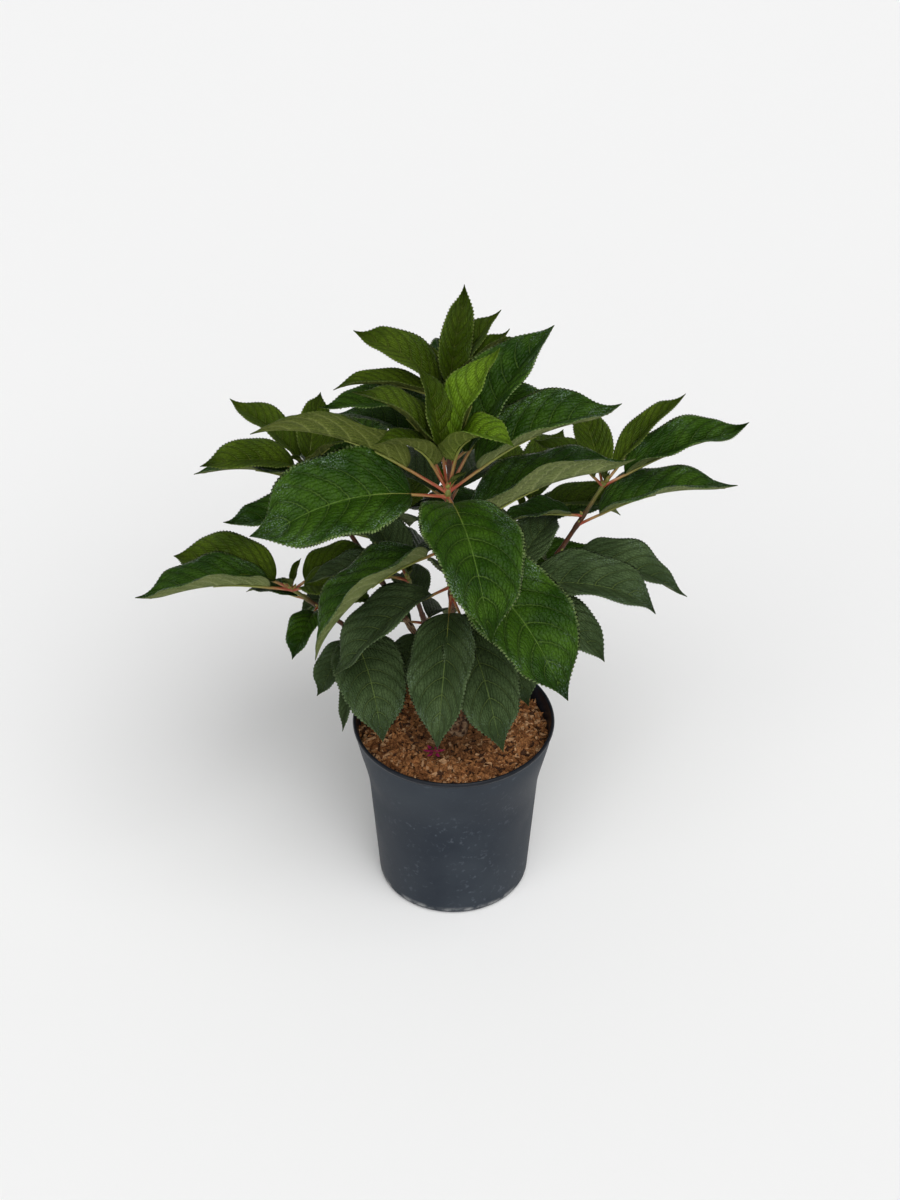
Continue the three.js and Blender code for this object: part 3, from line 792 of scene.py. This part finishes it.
wood = Joined()
trunk_share = np.linspace(0, 1, TRUNK_RINGS)
trunk_bow = TRUNK_BOW * trunk_share * (1 - trunk_share)
trunk_heights = TRUNK_FOOT + (TRUNK_TOP - TRUNK_FOOT) * trunk_share
trunk_path = np.stack([trunk_bow, 0 * trunk_share, trunk_heights], axis=1)
trunk_path[0, 2] -= 2.5
trunk_radius = TRUNK_FOOT_RADIUS + (TRUNK_TOP_RADIUS - TRUNK_FOOT_RADIUS) * trunk_share
trunk_radius += (TRUNK_FLARE_RADIUS - TRUNK_FOOT_RADIUS) * (1 - trunk_share) ** 4
trunk_radius *= 1 - 0.75 * smooth(trunk_share, 0.95, 1.0)
trunk_relief = 1 + ridges(trunk_path, TRUNK_STEPS, 5) * 0.8
trunk_radii = trunk_radius[:, None] * trunk_relief
add_limb(wood, trunk_path, trunk_radii, TRUNK_STEPS, 0, TRUNK_TOP - TRUNK_FOOT)
for number, shoot in enumerate(SHOOTS.values()):
    bough_path = shoot_curve(shoot, np.linspace(0, shoot["leafy"] + 0.01, BOUGH_RINGS))
    bough_radius = BOUGH_RADIUS + (STEM_RADIUS - BOUGH_RADIUS) * np.linspace(0, 1, BOUGH_RINGS)
    bough_radii = bough_radius[:, None] * (1 + ridges(bough_path, BOUGH_STEPS, 20 + number))
    bough_length = np.linalg.norm(np.diff(bough_path, axis=0), axis=1).sum()
    add_limb(wood, bough_path, bough_radii, BOUGH_STEPS, 0, bough_length)
woody_frame = wood.piece("woody_frame", "bark", [wood_bark()])
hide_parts("trunk", *(f"bough_{name}" for name in SHOOTS))


# ---- The leafy stems and leaf stalks ----
# The year's green wood: each shoot's leafy end, swollen where leaves join it, and the stalk of every
# leaf, which is red by the stem and runs on under the blade as its midrib. Buds sit in the axils.

TWIG_RADIUS = 1.5
PETIOLE_RADIUS = 1.3
SMALL_LEAF = 60
BUD = 0.985
END_BUD = (9.0, 2.0)
AXIL_BUD = (5.0, 1.2)
STEM_RINGS = 70
STEM_STEPS = 14
STALK_RINGS = 10
STALK_STEPS = 10
MIDRIB_RINGS = 14
MIDRIB_REACH = 0.42
BUD_RINGS = 9
BUD_STEPS = 8
STEM, STALK, SCALES = 0, 1, 2
TURN_DRIFT = 5
RISE_DRIFT = 5
ROLL_DRIFT = 24
LENGTH_DRIFT = 0.08
CLOSE_TURN = 35
UNDERLAP = 6
STRAYS = dict(flick=(-22, 48), sweep=(-8, 8), twist=(-18, 18), ripple=(0.05, 0.12))
BEND_POWER = 1.15
SEED = 104729
MULTIPLIER = 16807
MODULUS = 2147483647
MATURE, LOW_OR_SHADED, YOUNG_LIT, OLIVE = 0, 1, 2, 3
LOW_SHARE = 0.71
FRONT_LOW_SHARE = 0.67
SHADED_REACH = 44
YOUNG_SHARE = 0.99
YOUNG_LENGTH = 100
LIT_TURN = 10
LIT_REACH = 0.6
SHADE_SHARE = 0.97
SHADE_TURN = 180
SHADE_REACH = 0.8
FRONT_SPRING = 200
BUD_LEAF_LENGTH = 22
STEM_RUST = paint(80, 46, 28)
STEM_BROWN = paint(62, 40, 26)
STEM_GREEN = paint(104, 108, 50)
PORE_TAN = paint(178, 150, 104)
STALK_RED = paint(142, 64, 46)
STALK_TAN = paint(160, 122, 80)
STALK_GREEN = paint(120, 126, 60)
BUD_GREEN = paint(120, 128, 60)
BUD_BROWN = paint(122, 86, 48)


def draws(seed):
    """Numbers from -0.5 to 0.5: the next state is the state times the multiplier, modulo the modulus."""
    state = seed
    while True:
        state = state * MULTIPLIER % MODULUS
        yield state / MODULUS - 0.5


def leaf_kind(shoot, share, length, turn):
    """Low leaves and those of the short inner shoots are dull, a copy of the leaf colour painted for the
    shade of the crown that they stand in, though on the front shoot dullness ends lower. Short leaves at a
    shoot's end are bright where they face the light on the front shoot, and else olive: painted light and
    shade on the young leaves. The front shoot's top leaves on the left, turned away from the light, are olive
    too as painted shade, and the rest are deep green."""
    front = shoot["spring"] > FRONT_SPRING
    if share < (FRONT_LOW_SHARE if front else LOW_SHARE) or shoot["reach"] < SHADED_REACH:
        return LOW_OR_SHADED
    if front and share > SHADE_SHARE and np.cos(np.radians(turn - SHADE_TURN)) > SHADE_REACH:
        return OLIVE
    if share < YOUNG_SHARE or length > YOUNG_LENGTH:
        return MATURE
    lit = front and np.cos(np.radians(turn - LIT_TURN)) > LIT_REACH
    return YOUNG_LIT if lit else OLIVE


def grow_leaves(number, shoot):
    """A shoot's leaves, as in the source: each has its whorl's values, and its turn, rise, length and roll
    drift by one draw each, in that order. What the source leaves plain drifts here by a chance of its own:
    the flick of the tip, the sweep sideways, the twist and the ripple of the edge. Of two leaves that stand
    close in a whorl the second starts lower, to pass under the first. Each shoot ends in a pair of bud
    leaves."""
    draw = draws(SEED * (number + 1))
    chance = np.random.default_rng(SEED + number)
    leaves = []
    for share, length, rise, arch, turns, *rest in shoot["whorls"]:
        fold, width, roll, stalk = (*rest, *USUAL_LEAF[len(rest):])
        for place, turn in enumerate(turns):
            under = place > 0 and abs(turn - turns[place - 1]) < CLOSE_TURN
            leaf = dict(arch=arch, fold=fold, width=width, stalk=stalk)
            leaf["root"] = shoot_curve(shoot, min(share, BUD))
            leaf["kind"] = leaf_kind(shoot, share, length, turn)
            leaf["turn"] = turn + TURN_DRIFT * next(draw)
            leaf["rise"] = rise + RISE_DRIFT * next(draw) - UNDERLAP * under
            leaf["length"] = length * (1 + LENGTH_DRIFT * next(draw))
            leaf["roll"] = roll + ROLL_DRIFT * next(draw)
            leaves.append(leaf)
    for side in (0, 180):
        leaf = dict(arch=34, fold=48, width=0.44, stalk=PETIOLE_SHARE, kind=OLIVE, rise=62, roll=0)
        leaf.update(root=shoot_curve(shoot, 0.995), turn=shoot["turn"] + 70 + side, length=BUD_LEAF_LENGTH)
        leaves.append(leaf)
    for leaf in leaves:
        for trait, limits in STRAYS.items():
            leaf[trait] = chance.uniform(*limits)
        leaf["phases"] = chance.uniform(0, 7, 2)
    return leaves


def leaf_frame(leaf, share):
    """The midrib and its directions at shares of a blade. The stalk runs straight out from the root. The
    blade starts at its end, steps along its direction, and bends down by the arch times the share to the
    bend power. Returns the midrib's points and the unit vectors along it, to its left and over it."""
    bend = leaf["arch"] * share ** BEND_POWER
    pitch = leaf["rise"] - bend + leaf["flick"] * smooth(share, 0.72, 1.0)
    heading = leaf["turn"] + leaf["sweep"] * share ** 2
    along = direction(heading, pitch)
    start = leaf["root"] + leaf["stalk"] * leaf["length"] * direction(leaf["turn"], leaf["rise"])
    steps = (along[1:] + along[:-1]) / 2 * np.diff(share)[:, None] * leaf["length"]
    midrib = start + np.vstack([np.zeros(3), np.cumsum(steps, axis=0)])
    level = direction(heading + 90, 0)
    tip = np.radians(leaf["roll"] + leaf["twist"] * share)[:, None]
    left = level * np.cos(tip) + np.cross(along, level) * np.sin(tip)
    return midrib, along, left, np.cross(along, left)


def stem_skin():
    """Smooth young bark with pale pores: rust brown below, and green at the tip by the piece's UV map."""
    material, tree, shader, ground = mottled(
        "young_stem", 0.5, 0.35, 300.0, 0.42, 0.62, STEM_RUST, STEM_BROWN
    )
    share = split(tree, uv_map(tree, "limb"))[1]
    fresh = mix_colours(tree, band(tree, share, 0.84, 1.0), ground["Color"], STEM_GREEN)
    feed(tree, shader.inputs["Base Color"], patches(tree, 1300.0, 0.66, 0.72, fresh, PORE_TAN)["Color"])
    add_bump(tree, shader, ground["Mask"], 0.4, 0.0003)
    return material


def stalk_skin():
    """A leaf stalk, streaked red and tan where it leaves the stem and yellow-green along the midrib."""
    material, tree, shader = principled("leaf_stalk", 0.42, 0.35)
    place = uv_map(tree, "limb")
    streaks = add_node(tree, "TexNoise", Vector=place, Scale=3.0, Detail=1.0).outputs["Fac"]
    streaked = mix_colours(tree, band(tree, streaks, 0.42, 0.58), STALK_RED, STALK_TAN)
    green = band(tree, split(tree, place)[1], 0.18, 0.62)
    feed(tree, shader.inputs["Base Color"], mix_colours(tree, green, streaked, STALK_GREEN))
    return material


def add_bud(parts, root, heading, length, radius):
    """Adds a pointed bud: a straight path whose radius is the sine of pi times its share to the power 0.8."""
    share = np.linspace(0.02, 0.995, BUD_RINGS)
    path = root + heading * length * share[:, None]
    add_limb(parts, path, radius * np.sin(np.pi * share ** 0.8) + 0.05, BUD_STEPS, SCALES, 1)


shoot_leaves = {name: grow_leaves(number, shoot) for number, (name, shoot) in enumerate(SHOOTS.items())}
bud_skin = mottled("bud_scales", 0.5, 0.3, 420.0, 0.4, 0.6, BUD_GREEN, BUD_BROWN)[0]
twig_materials = [stem_skin(), stalk_skin(), bud_skin]
for name, shoot in SHOOTS.items():
    twigs = Joined()
    stem_share = np.linspace(shoot["leafy"], 1, STEM_RINGS)
    stem_path = shoot_curve(shoot, stem_share)
    stem_radius = STEM_RADIUS + (TWIG_RADIUS - STEM_RADIUS) * np.linspace(0, 1, STEM_RINGS)
    for joint in {min(whorl[0], BUD) for whorl in shoot["whorls"]}:
        stem_radius = stem_radius * (1 + 0.3 * np.exp(-((stem_share - joint) / 0.016) ** 2))
    add_limb(twigs, stem_path, stem_radius, STEM_STEPS, STEM, 1 - shoot["leafy"], shoot["leafy"])
    heading = unit(stem_path[-1] - stem_path[-2])
    add_bud(twigs, stem_path[-1] - heading, heading, *END_BUD)
    for leaf in shoot_leaves[name]:
        midrib, along, left, over = leaf_frame(leaf, np.linspace(0, MIDRIB_REACH, MIDRIB_RINGS))
        thick = min(1.0, leaf["length"] / SMALL_LEAF)
        stalk = np.linspace(leaf["root"], midrib[0] - 0.5 * thick * over[0], STALK_RINGS)[:-1]
        path = np.vstack([stalk, midrib - (0.35 + 0.35 * thick) * over])
        passed = np.linspace(0, 1, len(path))
        radius = PETIOLE_RADIUS * thick * (1 - 0.25 * passed - 0.45 * smooth(passed, 0.4, 1.0))
        radius = radius + 0.9 * thick * np.exp(-passed * 22)
        add_limb(twigs, path, radius, STALK_STEPS, STALK, 1)
        if leaf["length"] > BUD_LEAF_LENGTH:
            heading = direction(leaf["turn"], leaf["rise"] / 2 + 52)
            add_bud(twigs, leaf["root"] + heading, heading, *AXIL_BUD)
    piece = twigs.piece(f"twigs_{name}", "bark", twig_materials)
    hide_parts(f"foliage_{name}")


# ---- The leaves ----
# Broad oval leaves drawn out to a long point, finely toothed, folded along the midrib and quilted between
# sunken side veins, pale below. Low ones and those in the crown's shade are dull, as painted shade; young
# ones are bright where they face the light and olive away from it, as painted light and shade; the rest are
# deep green.

LEAF_THICKNESS = 0.55
SHOULDER = 0.55
TAPER = 0.8
WIDEST = SHOULDER / (SHOULDER + TAPER)
DRIP_TIP = 0.62
DRIP_START = 0.74
TOOTH_PITCH = 2.5
TOOTH_DEPTH = 0.9
TOOTH_LEAF = 90
HALF_COLUMNS = 10
RIPPLES = 2.3
SIDE_VEINS = 8
SWELL_POWER = 0.6
QUILT = (0.019, 0.01, 0.012, 0.012)
GUTTER_DEPTH = 0.35
GUTTER_WIDTH = 1.1
RIDGE_HEIGHT = 0.35
NET_RUNGS = 11.0
VEIN_DEPTH = 0.0013
UNDER_LINES = (("Crease", 0.3), ("Net", 0.25), ("Side", 0.85), ("Midrib", 1.0))
DEEP = (paint(35, 60, 14), paint(55, 71, 42), paint(80, 108, 22), paint(55, 73, 14))
FRESH = (paint(61, 90, 24), paint(78, 95, 61), paint(106, 136, 36), paint(77, 96, 24))
VEIN = (paint(84, 110, 46), paint(100, 118, 64), paint(110, 130, 48), paint(104, 116, 50))
EDGE = (paint(150, 170, 110), paint(116, 134, 96), paint(150, 166, 92), paint(134, 146, 82))
UNDER = (paint(106, 116, 68), paint(96, 108, 70), paint(92, 106, 40), paint(88, 98, 40))
UNDER_PATCH = (paint(90, 102, 56), paint(80, 93, 58), paint(76, 92, 30), paint(72, 84, 30))
UNDER_VEIN = (paint(140, 148, 96), paint(128, 138, 96), paint(134, 146, 70), paint(128, 136, 72))
ROUGHNESS = (0.42, 0.6, 0.44, 0.46)
BLOOM = (0.6, 0.32, 0.15, 0.1)
BLOOM_PALE = paint(150, 172, 158)
# The kinds' names: low also holds the leaves given painted shade, young those brightened as painted light,
# and olive also those given painted shade away from the light.
LEAF_KINDS = ("mature", "low", "young", "olive")


def half_width(share):
    """Half a blade's width as a share of its widest: the share to the shoulder's power times what is left
    to the taper's power, over its peak, and narrowed to a drawn-out point beyond the drip start."""
    oval = share ** SHOULDER * (1 - share) ** TAPER / (WIDEST ** SHOULDER * (1 - WIDEST) ** TAPER)
    return oval * (1 - DRIP_TIP * smooth(share, DRIP_START, 1))


def blade(leaf):
    """A closed thin blade as rings across the midrib, with each point's vein map and blade map.

    Each half rises from the midrib at the fold's angle, steeper at first and flatter at the edge, with a
    ripple that grows with the distance out squared. Side veins start evenly along the midrib and sweep
    forward as they go out; between them both faces swell by the sine of pi times the vein count, to the
    swell power. Every second ring reaches out and forward at the edge as a tooth. A gutter is sunk along
    the midrib on top, and the underside carries ridges along the side veins.
    The vein map holds the count of side veins along and the share of the way out, which is negative on the
    right half. The blade map holds the share of the way along and the count of teeth.
    """
    rows = 2 * max(8, round(leaf["length"] / TOOTH_PITCH))
    share = np.linspace(0, 1, rows + 1)
    midrib, along, left, over = leaf_frame(leaf, share)
    small = min(1, leaf["length"] / SMALL_LEAF)
    half = np.maximum(leaf["length"] * leaf["width"] / 2 * half_width(share), 0.25)
    half = np.maximum(half, 0.9 * small * smooth(share, 0.15, 0.0))
    out = np.linspace(0, 1, HALF_COLUMNS + 1)
    out_middle = (out[1:] + out[:-1]) / 2
    open_up = 1.25 - 0.3 * smooth(share, 0.0, 0.35) - 0.12 * smooth(share, 0.7, 1.0)
    angle = np.radians(leaf["fold"]) * open_up[:, None] * (1.4 - 0.8 * out_middle)
    start = np.zeros((rows + 1, 1))
    spread = np.hstack([start, np.cumsum(np.cos(angle), axis=1) / HALF_COLUMNS])
    lift = np.hstack([start, np.cumsum(np.sin(angle), axis=1) / HALF_COLUMNS])
    calm = smooth(share, 0.0, 0.2) * smooth(share, 1.0, 0.85)
    notches = np.where(np.arange(rows + 1) % 2, 1.0, -0.25)
    tooth = TOOTH_DEPTH * min(1, leaf["length"] / TOOTH_LEAF) * calm * notches
    sides = []
    for sign, phase in zip((1, -1), leaf["phases"]):
        waves = np.sin(2 * np.pi * RIPPLES * share + phase)[:, None]
        ripple = leaf["ripple"] * calm[:, None] * out ** 2 * waves
        reach = half[:, None] * spread
        reach[:, -1] += tooth
        forward = np.zeros_like(reach)
        forward[:, -1] = 0.5 * tooth
        sides.append(
            midrib[:, None]
            + sign * reach[..., None] * left[:, None]
            + (half[:, None] * (lift + ripple))[..., None] * over[:, None]
            + forward[..., None] * along[:, None]
        )
    surface = np.concatenate([sides[0][:, ::-1], sides[1][:, 1:]], axis=1)
    across = np.concatenate([out[::-1], -out[1:]])
    far = np.abs(across)
    ahead = np.gradient(surface, axis=0)
    aside = -np.gradient(surface, axis=1)
    normal = unit(np.cross(ahead, aside) + 1e-3 * over[:, None])
    sweep = (0.13 * far + 0.27 * far ** 2) * (1 - 0.4 * share[:, None])
    phase = SIDE_VEINS * (share[:, None] - sweep)
    swell = np.abs(np.sin(np.pi * phase)) ** SWELL_POWER
    open_field = smooth(far, 0.02, 0.16) * smooth(far, 1.0, 0.84) * calm[:, None]
    relief = QUILT[leaf["kind"]] * leaf["length"] * open_field * (swell - 0.55)
    gutter = GUTTER_DEPTH * np.exp(-(half[:, None] * far / GUTTER_WIDTH) ** 2) * calm[:, None]
    thickness = LEAF_THICKNESS * small * smooth(far, 1.0, 0.9) * np.ones_like(phase)
    ridge = RIDGE_HEIGHT * open_field * (1 - swell) ** 3
    top = surface + (thickness / 2 + relief - gutter)[..., None] * normal
    under = surface + (-thickness / 2 + relief - ridge)[..., None] * normal
    top[:, [0, -1]] = surface[:, [0, -1]]
    points = np.concatenate([top, under[:, -2:0:-1]], axis=1)
    vein_map = np.stack([phase, np.broadcast_to(across, phase.shape)], axis=-1)
    blade_map = np.stack(np.broadcast_arrays(share[:, None], share[:, None] * rows / 2 + 0 * across), axis=-1)
    return points, *(np.concatenate([each, each[:, -2:0:-1]], axis=1) for each in (vein_map, blade_map))


def wave(tree, value):
    """A row of arches, one for each whole step of the value: the size of the sine of pi times the value."""
    return reckon(tree, "ABSOLUTE", reckon(tree, "SINE", times(tree, value, np.pi)))


# The veins as masks and relief, from the maps that every blade carries: the midrib, the arching side
# veins, the rungs of the net between them, the pale edge, the way along, and the height of it all.
veins, _, veins_out = new_group(
    "leaf_veins",
    {},
    {name: "Float" for name in ("Midrib", "Side", "Crease", "Net", "Edge", "Along", "Out", "Relief")},
)
vein_x, vein_y, _ = split(veins, uv_map(veins, "veins"))
blade_share, tooth_count, _ = split(veins, uv_map(veins, "blade"))
vein_object = add_node(veins, "TexCoord").outputs["Object"]
vein_noise = add_node(veins, "TexNoise", Vector=vein_object, Scale=240.0, Detail=2.0).outputs["Fac"]
vein_wobble = reckon(veins, "SUBTRACT", vein_noise, 0.5)
vein_out = reckon(veins, "ABSOLUTE", vein_y)
vein_phase = reckon(veins, "MULTIPLY_ADD", vein_wobble, 0.14, vein_x)
vein_wave = wave(veins, vein_phase)
rung_wander = times(veins, vein_wobble, 2.0)
rung_shift = reckon(veins, "MULTIPLY_ADD", reckon(veins, "FLOOR", vein_phase), 0.37, rung_wander)
rung_wave = wave(veins, reckon(veins, "MULTIPLY_ADD", vein_out, NET_RUNGS, rung_shift))
mesh_cells = add_node(veins, "TexVoronoi", Vector=vein_object, Scale=330.0)
mesh_cells.feature = "DISTANCE_TO_EDGE"
mesh_mask = band(veins, mesh_cells.outputs["Distance"], 0.02, 0.16, 1.0, 0.0)
rung_mask = times(veins, band(veins, rung_wave, 0.05, 0.4, 1.0, 0.0), 0.7)
inner_field = band(veins, vein_out, 0.84, 0.97, 1.0, 0.0)
midrib_place = times(veins, vein_out, reckon(veins, "MULTIPLY_ADD", blade_share, 1.6, 0.8))
tooth_tips = band(veins, wave(veins, tooth_count), 0.3, 0.8)
vein_hills = reckon(veins, "POWER", vein_wave, 0.5)
rung_hills = reckon(veins, "POWER", rung_wave, 0.6)
fine_cells = add_node(veins, "TexVoronoi", Vector=vein_object, Scale=620.0).outputs["Distance"]
hills = reckon(veins, "MULTIPLY_ADD", rung_hills, 0.5, times(veins, vein_hills, 0.6))
vein_lines = {
    "Midrib": band(veins, midrib_place, 0.012, 0.03, 1.0, 0.0),
    "Side": times(veins, band(veins, vein_wave, 0.04, 0.15, 1.0, 0.0), inner_field),
    "Crease": times(veins, band(veins, vein_wave, 0.12, 0.6, 1.0, 0.0), inner_field),
    "Net": times(veins, reckon(veins, "MAXIMUM", rung_mask, mesh_mask), inner_field),
    "Edge": times(veins, tooth_tips, band(veins, vein_out, 0.92, 0.98)),
    "Along": blade_share,
    "Out": vein_out,
    "Relief": reckon(veins, "MULTIPLY_ADD", fine_cells, -0.35, hills),
}
for line, value in vein_lines.items():
    feed(veins, veins_out.inputs[line], value)


def lined(tree, colour, lines, *layers):
    """The colour with some of the veins' masks laid on it in turn, each given as (mask, strength, colour)."""
    for mask, strength, line_colour in layers:
        colour = tint(tree, colour, lines[mask], strength, line_colour)
    return colour


def leaf_top(kind):
    """A leaf's upper face: two greens in soft patches, painted shade in the creases beside the side veins and
    on the net, pale veins and edge, and on grown leaves a fine pale bloom of specks that thickens towards the
    tip and the edge."""
    name = f"leaf_top_{LEAF_KINDS[kind]}"
    rough = ROUGHNESS[kind]
    material, tree, shader, ground = mottled(name, rough, 0.1, 34.0, 0.32, 0.7, DEEP[kind], FRESH[kind])
    lines = use_group(tree, veins)
    shade = darker(DEEP[kind], 0.45)
    side_fade = band(tree, lines["Out"], 0.0, 0.9, 0.65, 0.22)
    # Painted shade: the creases beside the side veins and the net are darkened towards a deeper green.
    colour = lined(
        tree,
        ground["Color"],
        lines,
        ("Crease", 0.6, shade),
        ("Net", 0.38, shade),
        ("Side", side_fade, VEIN[kind]),
        ("Midrib", 0.85, VEIN[kind]),
    )
    specks = times(tree, patches(tree, 1000.0, 0.52, 0.66)["Mask"], patches(tree, 45.0, 0.45, 0.62)["Mask"])
    to_tip = band(tree, lines["Along"], 0.6, 1.0)
    to_edge = band(tree, lines["Out"], 0.45, 0.98)
    outward = times(tree, reckon(tree, "MAXIMUM", to_tip, to_edge), BLOOM[kind])
    bloomed = tint(tree, colour, specks, outward, BLOOM_PALE)
    feed(tree, shader.inputs["Base Color"], tint(tree, bloomed, lines["Edge"], 0.55, EDGE[kind]))
    feed(tree, shader.inputs["Roughness"], band(tree, ground["Mask"], 0.0, 1.0, rough - 0.06, rough + 0.1))
    add_bump(tree, shader, lines["Relief"], 1.0, VEIN_DEPTH)
    return material


def leaf_under(kind):
    """A leaf's lower face: dull grey-green felt with raised pale veins and net."""
    name = f"leaf_under_{LEAF_KINDS[kind]}"
    material, tree, shader, ground = mottled(
        name, 0.72, 0.2, 50.0, 0.35, 0.68, UNDER[kind], UNDER_PATCH[kind]
    )
    lines = use_group(tree, veins)
    layers = [(line, strength, UNDER_VEIN[kind]) for line, strength in UNDER_LINES]
    feed(tree, shader.inputs["Base Color"], lined(tree, ground["Color"], lines, *layers))
    add_bump(tree, shader, times(tree, lines["Relief"], -1.0), 0.9, VEIN_DEPTH)
    return material


leaf_materials = [make(kind) for kind in range(len(LEAF_KINDS)) for make in (leaf_top, leaf_under)]
for name in SHOOTS:
    leaves = Joined()
    for leaf in shoot_leaves[name]:
        points, vein_map, blade_map = blade(leaf)
        rings, around = points.shape[:2]
        is_under = np.arange(around) >= 2 * HALF_COLUMNS
        face_side = np.append(np.tile(is_under, rings - 1), [True, True])
        leaves.add(points, skin(rings, around), 2 * leaf["kind"] + face_side, veins=vein_map, blade=blade_map)
    piece = leaves.piece(f"leaves_{name}", "foliage", leaf_materials)
    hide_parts(f"foliage_{name}")
